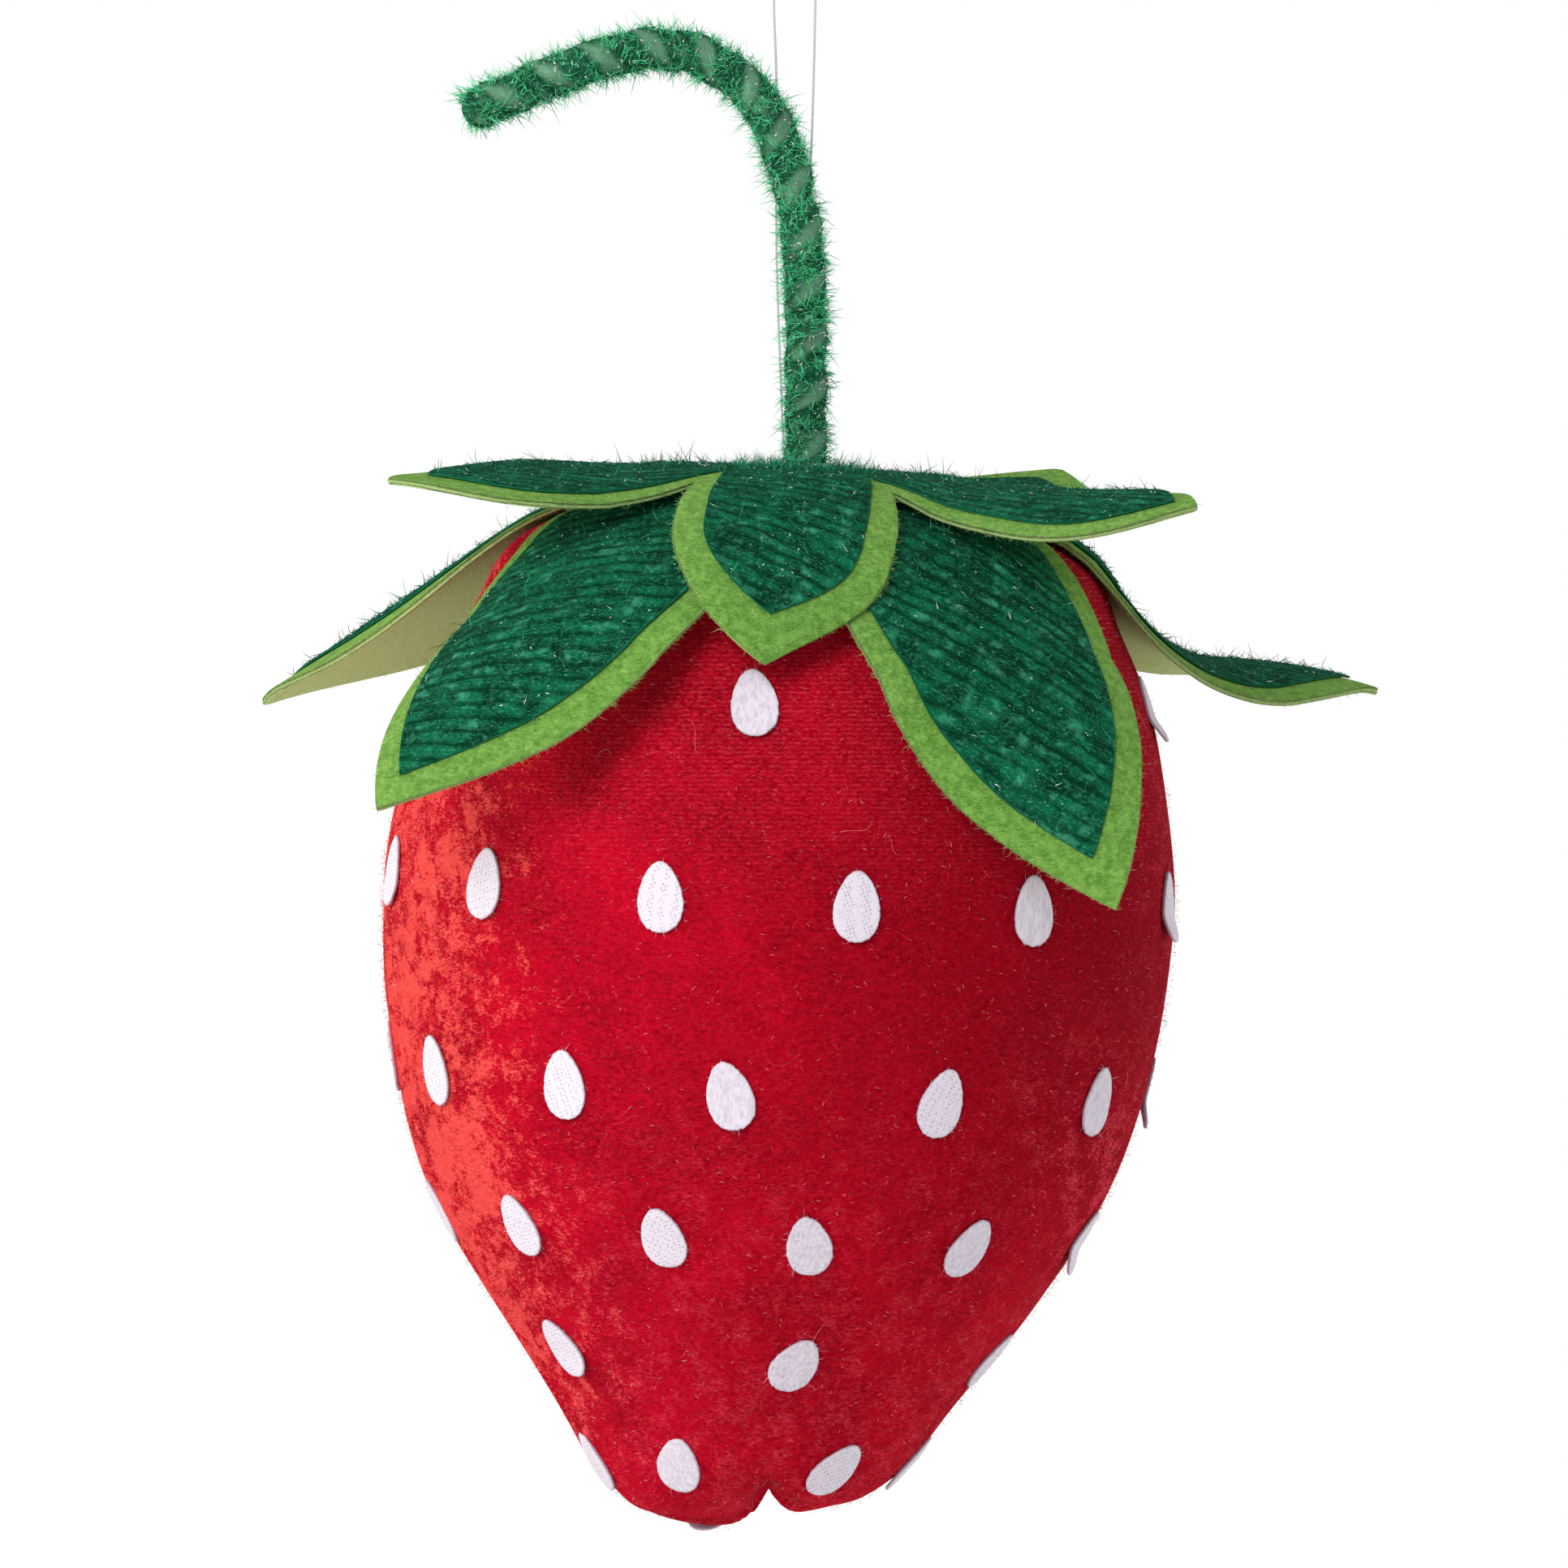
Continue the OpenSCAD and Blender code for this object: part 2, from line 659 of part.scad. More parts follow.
module glue_seat() color("ivory") berry_frame()
    difference() {
        translate([0, 0, velvet_z + layer_gap])
            cylinder(r = glue_r, h = glue_top - velvet_z - layer_gap, $fn = 64);
        root_bore();
        translate(stem_seat) sphere(r = wire_r + cup_gap, $fn = 32);
        translate(knot_seat) sphere(r = knot_r + cup_gap, $fn = 32);
    }

module foam_core() color("whitesmoke") berry_frame()
    difference() {
        foam_solid();
        root_bore();
    }

module velvet_front() color("crimson") berry_frame() velvet_panel(seam_angle + 180);
module velvet_back() color("firebrick") berry_frame() velvet_panel(seam_angle);

module lower_calyx_felt() color("yellowgreen") berry_frame()
    felt_star(lower_star, lower_leaves, lower_rest);
module lower_calyx_plush() color("seagreen") berry_frame()
    plush_star(lower_star, lower_leaves, lower_rest);
module upper_calyx_felt() color("olivedrab") berry_frame()
    felt_star(upper_star, upper_leaves, upper_rest);
module upper_calyx_plush() color("mediumseagreen") berry_frame()
    plush_star(upper_star, upper_leaves, upper_rest);

hanging_loop();
hanger_knot();
stem_wire();
stem_sleeve();
wire_root();
glue_seat();
foam_core();
velvet_front();
velvet_back();
lower_calyx_felt();
lower_calyx_plush();
upper_calyx_felt();
upper_calyx_plush();
seed_row(seed_rows[0]);  // seed_row_1
seed_row(seed_rows[1]);  // seed_row_2
seed_row(seed_rows[2]);  // seed_row_3
seed_row(seed_rows[3]);  // seed_row_4
seed_row(seed_rows[4]);  // seed_row_5
seed_row(seed_rows[5]);  // seed_row_6
seed_row(tip_row);  // tip_seeds
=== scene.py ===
"""Looks for a hanging strawberry ornament of velvet, felt and tinsel plush.

Sizes in the code are in millimetres in the row's frame, and pieces are made in metres.
"""

import functools
import math
from collections import namedtuple

import bpy
import numpy as np
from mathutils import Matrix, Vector, noise


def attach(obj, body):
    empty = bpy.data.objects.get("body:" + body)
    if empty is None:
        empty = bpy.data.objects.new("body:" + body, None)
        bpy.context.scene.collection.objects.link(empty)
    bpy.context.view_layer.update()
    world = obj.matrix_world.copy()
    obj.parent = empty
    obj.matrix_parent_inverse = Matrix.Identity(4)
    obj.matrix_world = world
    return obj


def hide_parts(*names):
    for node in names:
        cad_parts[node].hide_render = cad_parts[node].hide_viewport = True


bl_info = {
    "name": "Hanging Velvet Strawberry",
    "version": (1, 0, 0),
    "blender": (4, 5, 0),
    "location": "3D View > Sidebar > Strawberry",
    "description": "Builds the cloth, plush and thread of a hanging velvet strawberry",
    "category": "Add Mesh",
}

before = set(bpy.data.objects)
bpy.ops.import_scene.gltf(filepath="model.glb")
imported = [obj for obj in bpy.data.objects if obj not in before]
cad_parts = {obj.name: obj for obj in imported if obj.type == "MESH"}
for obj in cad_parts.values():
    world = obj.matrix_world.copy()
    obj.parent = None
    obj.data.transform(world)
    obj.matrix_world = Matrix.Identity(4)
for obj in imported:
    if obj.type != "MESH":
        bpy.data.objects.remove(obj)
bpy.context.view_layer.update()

MM = 0.001

# ---- The sewing plan, as in the part's source ----

THREAD_D = 0.4
HANG_LENGTH = 83.8
KNOT_R = 1.4
SLEEVE_R = 3.7
RIB_PITCH = 8.8
STEM_HEIGHT = 70
HOOK_REACH = 54
BERRY_WIDTH = 131.4
BERRY_HEIGHT = 171.8
VELVET_T = 1.0
CLEFT_H = 8.7
CLEFT_W = 3.9
SEAM_ANGLE = 12
SEED_LENGTH = 11.6
SEED_WIDTH = 7.6
PATCH_T = 0.55
FELT_T = 1.2
PLUSH_T = 1.0
LAYER_GAP = 0.2
LEAF_GAP = 0.7
SEED_GAP = 0.1
PLUSH_TRIM = (4, 7, 1)
HALF_LEAF = math.radians(36)

UPPER_Z = -PLUSH_T - LAYER_GAP
LOWER_Z = UPPER_Z - FELT_T - LAYER_GAP - PLUSH_T - LAYER_GAP
VELVET_Z = LOWER_Z - FELT_T - LAYER_GAP
KNOT_SEAT = np.array([-2.6, 2.6, -0.5])
STEM_SEAT = np.array([0, -2.6, -0.5])
HUB_HOLE_R = 7.0
BERRY_TURN = np.radians([1.75, 2.7])
KNOT = np.array([-0.7, 0, -HANG_LENGTH])

BERRY_OUTLINE = [
    (0, 0), (0.3, 0.002), (0.54, 0.016), (0.73, 0.053), (0.815, 0.115), (0.91, 0.195),
    (0.985, 0.32), (1, 0.41), (0.965, 0.525), (0.868, 0.655), (0.7, 0.766),
    (0.502, 0.869), (0.37, 0.94), (0.25, 0.979), (0, 1),
]
CLEFT_X = 2.8
CLEFT_FADE = (12, 28)
BELLY_OFFSET = -1.1
FLANK_SWELL = 0.8
LOW_LOBE = (-13.6, 0)
LOW_LOBE_DROP = 4.5
LOW_LOBE_SPREAD = 14.3
FRONT_TUCK = 2.2
TUCK_FADE = (12, 26)

# Rows of seed patches: share of the height, size, headings from the front, leans, and which side
# of its cloth each patch has outside: k the knit, p the pile
SEED_ROWS = [
    (0.1863, 1, (-96, -66, -36, -6, 24, 54, 84, 114, 144, 174, 204, 234),
        (0, 5, -4, -10, 6, 0), "kkppkkpkkpkk"),
    (0.3725, 1, (-76, -47, -17, 11, 39, 77, 105, 133, 162, 192, 222, 252),
        (4, 2, -5, 1, -1, 3), "kkkkpkkppkkk"),
    (0.557, 1, (-95, -61, -32, -6, 26.5, 59.5, 93, 121, 150, 178, 207, 236),
        (2, -1, 0, -15, 9, -4), "kkkpkpkkpkkp"),
    (0.6985, 0.97, (-80, -47, -17.5, 8, 39, 78, 108, 135, 164, 193, 222, 251),
        (-4, -5, -9, -13, 11, 5), "kkkppkkpkkpk"),
    (0.818, 0.97, (-52, 9, 75, 136, 196, 250), (-7, 19, 8), "kppkkp"),
    (0.9255, 0.97, (-74, -27, 31, 80, 148, 214), (4, 13, 25, 6), "kpkpkk"),
    (0.986, 0.95, (206,), (-6,), "p"),
]

STEM_ROUTE = [
    (0, 0), (0, 0.17), (0, 0.34), (-0.008, 0.515), (-0.043, 0.689), (-0.13, 0.864),
    (-0.256, 0.957), (-0.37, 0.998), (-0.481, 1.004), (-0.593, 0.989), (-0.704, 0.961),
    (-0.861, 0.913), (-1, 0.864),
]
SLEEVE_FOOT = 1.6
# A tight turn of the sleeve: depth, length along the stem and half width
SLEEVE_PINCH = (0.55, 43.5, 1.3)
LOOP_R = 3.4
STRAND_FOOT = 1.75
STRAND_X = 1
LOOP_LEFT = [(-2, -76), (-3, -48), (-3, -20), (-3.4, -8)]
LOOP_RIGHT = [(3.4, -8), (2.8, -30), (0.9, -70)]

# rib is the angle from the first leaf's middle line to the knit rows of the plush; stray is how
# far each leaf's pile strays from them
# fit is each leaf's plush: its shares of the cut's width and length, and how far it sits aside
Star = namedtuple("Star", "reach half widest taper notch droop top leaves rest rib stray fit")
# Leaves: heading, dips at a third, two thirds and the tip, sweep, rolls half way and at the tip,
# cup per millimetre
UPPER_STAR = Star(78.5, 18, 51, 2.6, 21, 0.15, UPPER_Z, [
    (-147, 1.5, 3.3, 4, -9, -8.8, -3, 0.009),
    (-92.8, 14.6, 38.8, 84, -6, -9.5, -22.5, 0.0095),
    (-40.8, 2.7, -2, 1.2, 14.4, 8.9, 16.5, 0.0129),
    (55.5, 6, -3, -20, 2, 4, 4, 0.002),
    (129.5, 7, 1, -6, 0, -3, -3, 0.002),
], (2 * FELT_T + PLUSH_T, 3), 145, (1, 0.35, 1, 0.8, 0.8),
    ((1, 1, 0), (0.93, 0.98, 0), (1, 1.04, 0), (1, 1, 0), (1, 1, 0)))
LOWER_STAR = Star(117.5, 24.5, 55, 2.2, 28, 1.3, LOWER_Z, [
    (-126.8, 30.9, 44.9, 48.8, -16.7, -1.5, -28.4, 0.0248),
    (-59.5, 39.8, 58.3, 61.2, 22.2, 7.8, 56.6, 0.0159),
    (13.9, 45.5, 0, 14, 28, 5.3, 3.8, 0.0142),
    (85, 30, 40, 38, 5, 0, 0, 0.02),
    (149.3, 28.3, 31.3, 27.1, -5.3, -1.8, -2.3, 0.0233),
], (FELT_T, 1), 115, (0.2, 1.1, 1, 0.8, 0.9),
    ((0.98, 1, 0), (0.96, 0.98, -0.6), (1, 1, 0), (1, 1, 0), (1, 1, 0)))

# ---- The looks, beyond the plan ----

KNOT_STRAND_R = 0.26
# The velvet stops this far from the crown's middle
CROWN_GAP = 2.6
# Humps across the velvet's seam: height, distance from the seam and half width
SEAM_DIP = (-0.9, 0, 0.9)
SEAM_SWELL = (0.25, 2.6, 1.3)
# Height of the velvet's slow waves, and how many there are to a millimetre
VELVET_WAVE = (0.35, 0.045)
FOAM_GAP = 0.8
PATCH_SIDES = 60
PATCH_RINGS = np.array([0, 0.25, 0.5, 0.7, 0.84, 0.94, 1])
# Headings of the patches that have come loose at the foot
LOOSE_PATCHES = (84, 77, 78, 93)
LOOSE_LIFT = 1.3
FRAYS = 90
# Rows of the plush's knit, and of the pile sewn into it
KNIT_PITCH = 0.85
PILE_PITCH = 2.8
# Height of the plush's ground, and its share of the gap that it takes up
PLUSH_PAD = (0.45, 0.2)
# How far the scissors wander
CUT_WANDER = 0.35
# A cut edge's rounding, as a share of the cloth's thickness, and how far its middle stands out
EDGE_ROUND = 0.22
EDGE_SWELL = 0.12
WISPS = 4200
GLINTS = 620
COLLAR_FIBRES = 2600
STEM_GLINTS = 640
SLEEVE_SIDES = 56
SLEEVE_STEP = 0.3

SENSOR = 36
CAMERA_AWAY = 2500
CAMERA_TILT = math.radians(0.5)
VIEW_WIDTH = 260.8
VIEW_MIDDLE = (-1.755, -135.8)
LAMP_AIM = Vector((0, 0, -0.14))
SOFT_LIGHT = 0.46
FLOOR_Z = -0.5
FLOOR_R = 2.9


# ---- Helpers ----


def unit(v):
    """Vectors of length 1."""
    return v / np.maximum(np.linalg.norm(v, axis=-1, keepdims=True), 1e-12)


def smooth(x):
    """An even step from 0 at 0 to 1 at 1."""
    k = np.clip(x, 0, 1)
    return k * k * (3 - 2 * k)


def hump(x, height, middle, width):
    """A rounded hump of a height and half width, round its middle."""
    return height * np.exp(-(((x - middle) / width) ** 2))


def spline(points, steps, before, after):
    """Catmull-Rom curve with steps to each stretch between points."""
    p = np.vstack([[before], points, [after]]).astype(float)
    u = np.arange(steps)[:, None] / steps
    runs = [
        (2 * b + (c - a) * u + (2 * a - 5 * b + 4 * c - d) * u**2
            + (3 * b - a - 3 * c + d) * u**3) / 2
        for a, b, c, d in zip(p, p[1:], p[2:], p[3:])
    ]
    return np.vstack(runs + [p[-2:-1]])


def open_spline(points, steps):
    """Catmull-Rom curve whose ends run straight on."""
    p = np.array(points, float)
    return spline(p, steps, 2 * p[0] - p[1], 2 * p[-1] - p[-2])


def run_along(path):
    """Length along a path at each of its points."""
    return np.concatenate([[0], np.cumsum(np.linalg.norm(np.diff(path, axis=0), axis=1))])


def turned(p):
    """Vectors of the berry's frame, in the row's frame."""
    (ca, cb), (sa, sb) = np.cos(BERRY_TURN), np.sin(BERRY_TURN)
    y, z = p[..., 1] * ca - p[..., 2] * sa, p[..., 1] * sa + p[..., 2] * ca
    return np.stack([p[..., 0] * cb + z * sb, y, z * cb - p[..., 0] * sb], axis=-1)


CROWN = KNOT - turned(KNOT_SEAT)
STEM_PIVOT = CROWN + turned(STEM_SEAT)


def hung(p):
    """Points of the berry's frame, in the row's frame."""
    return CROWN + turned(p)


def linear(code):
    """The linear colour of an sRGB hex value."""
    parts = [int(code[k:k + 2], 16) / 255 for k in (1, 3, 5)]
    return tuple(c / 12.92 if c <= 0.04045 else ((c + 0.055) / 1.055) ** 2.4 for c in parts)


# ---- Berry surface ----


def berry_outline(steps):
    """Radius and height down the velvet, from the crown to the foot."""
    p = np.array([(r * BERRY_WIDTH / 2, -d * BERRY_HEIGHT + VELVET_Z) for r, d in BERRY_OUTLINE])
    return spline(p, steps, (-p[1][0], p[1][1]), (-p[-2][0], p[-2][1]))


OUTLINE = berry_outline(14)
OUTLINE_RUN = run_along(OUTLINE)
REST_OUTLINE = berry_outline(3)


def radius_at(run):
    """Radius of the velvet at a length down from the crown."""
    return np.interp(run, OUTLINE_RUN, OUTLINE[:, 0])


def belly_aside(z):
    """How far the berry leans aside at a height."""
    return BELLY_OFFSET * smooth((VELVET_Z - z - 5) / 60)


def berry_at(run, heading):
    """Point of the velvet at a length down from the crown and a heading in degrees."""
    r, z = radius_at(run), np.interp(run, OUTLINE_RUN, OUTLINE[:, 1])
    h = np.radians(heading)
    x, y = r * np.cos(h), r * np.sin(h)
    away = np.hypot(x, y)
    fade = 1 - smooth((away - CLEFT_FADE[0]) / (CLEFT_FADE[1] - CLEFT_FADE[0]))
    cleft = CLEFT_H * np.maximum(
        np.exp(-np.abs(x - CLEFT_X) / CLEFT_W), np.exp(-np.abs(y) / CLEFT_W)) * fade
    lobe = hump(np.hypot(x - LOW_LOBE[0], y - LOW_LOBE[1]), LOW_LOBE_DROP, 0, LOW_LOBE_SPREAD)
    tuck = FRONT_TUCK * smooth((3 - y) / 8) * (
        1 - smooth((away - TUCK_FADE[0]) / (TUCK_FADE[1] - TUCK_FADE[0])))
    low = z < VELVET_Z - BERRY_HEIGHT / 2
    aside = belly_aside(z) - FLANK_SWELL * smooth(-x / 40) * smooth((VELVET_Z - z - 60) / 60)
    return np.stack([x + aside, y, z + np.where(low, cleft + tuck - lobe, 0)], axis=-1)


def berry_axes(run, heading):
    """The velvet's directions down, across and out at a point."""
    reach = 0.4
    down = berry_at(run + reach, heading) - berry_at(run - reach, heading)
    turn = reach * 57.3 / np.maximum(radius_at(run), 1)
    across = berry_at(run, heading + turn) - berry_at(run, heading - turn)
    down, across = unit(down), unit(across)
    return down, across, unit(np.cross(down, across))


def berry_spots(count, rng, first=0, sweep=360, top=20):
    """Places spread evenly over the velvet."""
    run = np.linspace(top, OUTLINE_RUN[-1] - 1, 2000)
    weight = np.cumsum(radius_at(run))
    run = np.interp(rng.random(count) * weight[-1], weight, run)
    return run, first + sweep * rng.random(count)


# ---- Star surfaces ----


def leaf_root(star):
    """How far out the notches beside a leaf are."""
    return star.notch * math.cos(HALF_LEAF)


def half_width(star, s):
    """Half of a leaf's width at s along it."""
    root, base = leaf_root(star), star.notch * math.sin(HALF_LEAF)
    rise = np.sin(np.radians(90 * (s - root) / (star.widest - root)))
    fall = np.clip((s - star.widest) / (star.reach - star.widest), 0, 1) ** star.taper
    return np.where(s < star.widest, base + (star.half - base) * rise, star.half * (1 - fall))


def leaf_way(star, leaf, u):
    """The way a leaf runs at a share u of its length."""
    root_dip = math.degrees(math.atan(2 * star.droop * leaf_root(star) / star.notch**2))
    dip = np.radians(np.interp(u, [0, 1 / 3, 2 / 3, 1], [root_dip, *leaf[1:4]]))
    heading = np.radians(leaf[0] + leaf[4] * u)
    return np.stack(
        [np.cos(dip) * np.cos(heading), np.cos(dip) * np.sin(heading), -np.sin(dip)], axis=-1)


def midline(star, leaf, steps=96):
    """Points along the middle of a leaf, from its root to its tip."""
    root, heading = leaf_root(star), math.radians(leaf[0])
    way = leaf_way(star, leaf, np.linspace(0, 1, steps + 1))
    start = [root * math.cos(heading), root * math.sin(heading),
        star.top - star.droop * math.cos(HALF_LEAF) ** 2]
    step = (star.reach - root) / steps
    return np.vstack([[start], start + np.cumsum((way[:-1] + way[1:]) / 2 * step, axis=0)])


def flat_on_leaf(star, i, s, t):
    """Point of a star's upper face s along leaf i and t across it, before it meets the berry."""
    leaf, root = star.leaves[i], leaf_root(star)

    def gap(k):
        """Degrees from a leaf to the next."""
        return (star.leaves[(k + 1) % 5][0] - star.leaves[k % 5][0]) % 360

    spread = np.where(t > 0, gap(i), gap(i + 4)) / 72
    heading = np.radians(leaf[0]) + np.arctan2(t, s) * spread
    r = np.hypot(s, t)
    hub = np.stack([r * np.cos(heading), r * np.sin(heading),
        star.top - star.droop * (r / star.notch) ** 2], axis=-1)
    u = (s - root) / (star.reach - root)
    middle = midline(star, leaf)
    share = np.linspace(0, 1, len(middle))
    mid = np.stack([np.interp(u, share, middle[:, k]) for k in range(3)], axis=-1)
    along = leaf_way(star, leaf, u)
    across = unit(np.cross([0, 0, 1], along))
    roll = np.radians(np.interp(u, [0, 0.5, 1], [0, leaf[5], leaf[6]]))
    rise = np.sin(roll) * t - leaf[7] * u * t * t
    free = (mid + (np.cos(roll) * t)[..., None] * across
        + rise[..., None] * np.cross(along, across))
    return hub + (free - hub) * smooth((s - root) / 10)[..., None]


def slack(r):
    """Gap between two layers of a star at a distance from its middle."""
    return LAYER_GAP + (LEAF_GAP - LAYER_GAP) * smooth((r - HUB_HOLE_R) / 20)


def lifted(p, rest):
    """Points moved off the berry where they are nearer to the velvet than the cloth under them."""
    x = p[..., 0] - belly_aside(p[..., 2])
    r = np.maximum(np.hypot(x, p[..., 1]), 1e-6)
    q = np.stack([r, p[..., 2]], axis=-1)[..., None, :]
    start, side = REST_OUTLINE[:-1], np.diff(REST_OUTLINE, axis=0)
    u = np.clip(((q - start) * side).sum(-1) / (side**2).sum(-1), 0, 1)
    off = q - start - side * u[..., None]
    away = np.linalg.norm(off, axis=-1)
    best = away.argmin(-1)
    normal = unit(np.stack([-side[:, 1], side[:, 0]], axis=-1))[best]
    near = np.take_along_axis(off, best[..., None, None], -2)[..., 0, :]
    height = away.min(-1) * np.where((near * normal).sum(-1) < 0, -1, 1)
    short = rest[0] + rest[1] * slack(r) - height
    ease = 0.4
    short = ease * np.logaddexp(0, short / ease) * smooth((r - HUB_HOLE_R) / 12)
    return p + short[..., None] * np.stack(
        [normal[..., 0] * x / r, normal[..., 0] * p[..., 1] / r, normal[..., 1]], axis=-1)


def star_at(star, i, s, t):
    """Points of a star's upper face with leaf numbers i."""
    p = np.zeros((*s.shape, 3))
    for k in range(5):
        at = i == k
        p[at] = lifted(flat_on_leaf(star, k, s[at], t[at]), star.rest)
    return p


def star_axes(star, i, s, t):
    """The face's point and its directions along the leaf, across it and out."""
    e = 0.5
    along = unit(star_at(star, i, s + e, t) - star_at(star, i, s - e, t))
    across = unit(star_at(star, i, s, t + e) - star_at(star, i, s, t - e))
    return star_at(star, i, s, t), along, across, unit(np.cross(along, across))


def row_angle(star, i):
    """Angle in a leaf's own flat directions of the plush's knit rows."""
    return np.radians(star.rib - 72 * i)


def cut_star(star, trim):
    """A star cut narrower, shorter and closer to its hub."""
    return star._replace(
        reach=star.reach - trim[1], half=star.half - trim[0], notch=star.notch - trim[2])


def plush_fit(star, i, s, t):
    """A leaf's plush moved to where it was glued on the felt."""
    wide, long, aside = np.array(star.fit)[i].T
    out = smooth((s - HUB_HOLE_R) / (star.notch - HUB_HOLE_R))
    return s * (1 + (long - 1) * out), t * (1 + (wide - 1) * out) + aside * out


def star_spots(cut, count, rng):
    """Places spread evenly over a star's flat cut, as leaf numbers, s and t."""
    found = [np.zeros((0, 3))]
    while sum(len(f) for f in found) < count:
        i = rng.integers(0, 5, 4 * count)
        s = rng.uniform(0, cut.reach, 4 * count)
        t = rng.uniform(-cut.half, cut.half, 4 * count)
        hub = np.abs(t) < s * math.tan(HALF_LEAF)
        inside = np.where(s < leaf_root(cut), hub, np.abs(t) < half_width(cut, s))
        inside &= np.hypot(s, t) > HUB_HOLE_R
        found.append(np.stack([i, s, t], axis=-1)[inside])
    spots = np.vstack(found)[:count]
    return spots[:, 0].astype(int), spots[:, 1], spots[:, 2]


# ---- Meshes ----


def make_piece(name, points, faces, material, body, **marks):
    """A piece in metres from points in millimetres; marks are numbers kept at its points."""
    mesh = bpy.data.meshes.new(name)
    mesh.vertices.add(len(points))
    mesh.vertices.foreach_set("co", (np.asarray(points) * MM).astype(np.float32).ravel())
    loops = np.concatenate([f.ravel() for f in faces]).astype(np.int32)
    sizes = np.concatenate([np.full(len(f), f.shape[1]) for f in faces])
    mesh.loops.add(len(loops))
    mesh.loops.foreach_set("vertex_index", loops)
    mesh.polygons.add(len(sizes))
    starts = np.concatenate([[0], np.cumsum(sizes)[:-1]]).astype(np.int32)
    mesh.polygons.foreach_set("loop_start", starts)
    mesh.polygons.foreach_set("use_smooth", np.ones(len(sizes), bool))
    mesh.update(calc_edges=True)
    for mark, values in marks.items():
        values = np.asarray(values, np.float32)
        if values.ndim == 2:
            field = mesh.attributes.new(mark, "FLOAT_VECTOR", "POINT")
            field.data.foreach_set("vector", values.ravel())
        else:
            field = mesh.attributes.new(mark, "FLOAT", "POINT")
            field.data.foreach_set("value", values)
    mesh.materials.append(material)
    piece = bpy.data.objects.new(name, mesh)
    bpy.context.scene.collection.objects.link(piece)
    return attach(piece, body)


def grid_faces(rows, cols, start=0, loop=False):
    """Quads of a grid of points in rows, seen from the side that columns turn left of rows."""
    j = np.arange(cols if loop else cols - 1)
    k = np.arange(rows - 1)[:, None]
    a, b = start + k * cols + j, start + k * cols + (j + 1) % cols
    return np.stack([a, b, b + cols, a + cols], axis=-1).reshape(-1, 4)


def fan(first, count, pole, flip=False):
    """Triangles from a closed ring of points to its pole."""
    a = np.arange(count)
    b = (a + 1) % count
    a, b = (b, a) if flip else (a, b)
    return np.stack([first + a, first + b, np.full(count, pole)], axis=-1)


def strands(paths, radii):
    """Fine pointed fibres of three sides along paths, an array of fibres by points by 3."""
    n, k = paths.shape[:2]
    way = unit(paths[:, -1] - paths[:, 0])
    pole = np.where(np.abs(way[:, 2:]) < 0.8, [[0, 0, 1.0]], [[1.0, 0, 0]])
    side = unit(np.cross(way, pole))
    other = np.cross(way, side)
    turn = np.radians([0, 120, 240])
    spokes = (np.cos(turn)[None, :, None] * side[:, None]
        + np.sin(turn)[None, :, None] * other[:, None])
    taper = 1 - 0.5 * np.arange(k - 1) / (k - 1)
    rings = (paths[:, :-1, None]
        + radii[:, None, None, None] * taper[None, :, None, None] * spokes[:, None])
    points = np.concatenate([rings.reshape(n, -1, 3), paths[:, -1:]], axis=1)
    size = 3 * (k - 1) + 1
    faces = [(0, 2, 1)]
    for m in range(k - 2):
        for j in range(3):
            a, b = 3 * m + j, 3 * m + (j + 1) % 3
            faces += [(a, b, b + 3), (a, b + 3, a + 3)]
    last = 3 * (k - 2)
    faces += [(last + j, last + (j + 1) % 3, size - 1) for j in range(3)]
    faces = np.array(faces)[None] + size * np.arange(n)[:, None, None]
    return points.reshape(-1, 3), faces.reshape(-1, 3), size


def make_strands(name, paths, radii, tone, material, body, tip=0.0):
    """Fibres in one piece, each as pale as its tone and paler by tip at its end."""
    points, faces, size = strands(paths, radii)
    along = np.minimum(np.arange(size) // 3 / (paths.shape[1] - 1), 1)
    tone = np.clip(np.asarray(tone)[:, None] + tip * along, 0, 1)
    return make_piece(name, points, [faces], material, body, tone=tone.ravel())


def bent(roots, way, length, curl, points):
    """Paths from roots that leave along way and bend towards curl."""
    u = np.linspace(0, 1, points)[None, :, None]
    length = np.asarray(length)[:, None, None]
    return roots[:, None] + length * (way[:, None] * u + curl[:, None] * u * u)


def lay_fibres(name, rng, root, way, length, curl, knots, thick, finish, tone=None, skew=1,
        palest=1):
    """Curled fibres on the berry, with radii between the two of thick. Where they have no tones
    of their own, they are spread from 0 to palest, and more of them are dark with more skew."""
    paths = bent(hung(root), turned(way), length, rng.normal(0, curl, root.shape), knots)
    radii = rng.uniform(*thick, len(root))
    if tone is None:
        tone = rng.random(len(root)) ** skew * palest
    return make_strands(name, paths, radii, tone, finish, "berry")


# ---- Materials ----

MIX = {"data_type": "RGBA"}
SMOOTH = {"interpolation_type": "SMOOTHSTEP"}
MULTIPLY, ADD, MULTIPLY_ADD, MAXIMUM, POWER = (
    {"operation": name, "use_clamp": True}
    for name in ("MULTIPLY", "ADD", "MULTIPLY_ADD", "MAXIMUM", "POWER"))
# Scale of a wave texture whose bands are 1 unit apart
BANDS = 0.31416


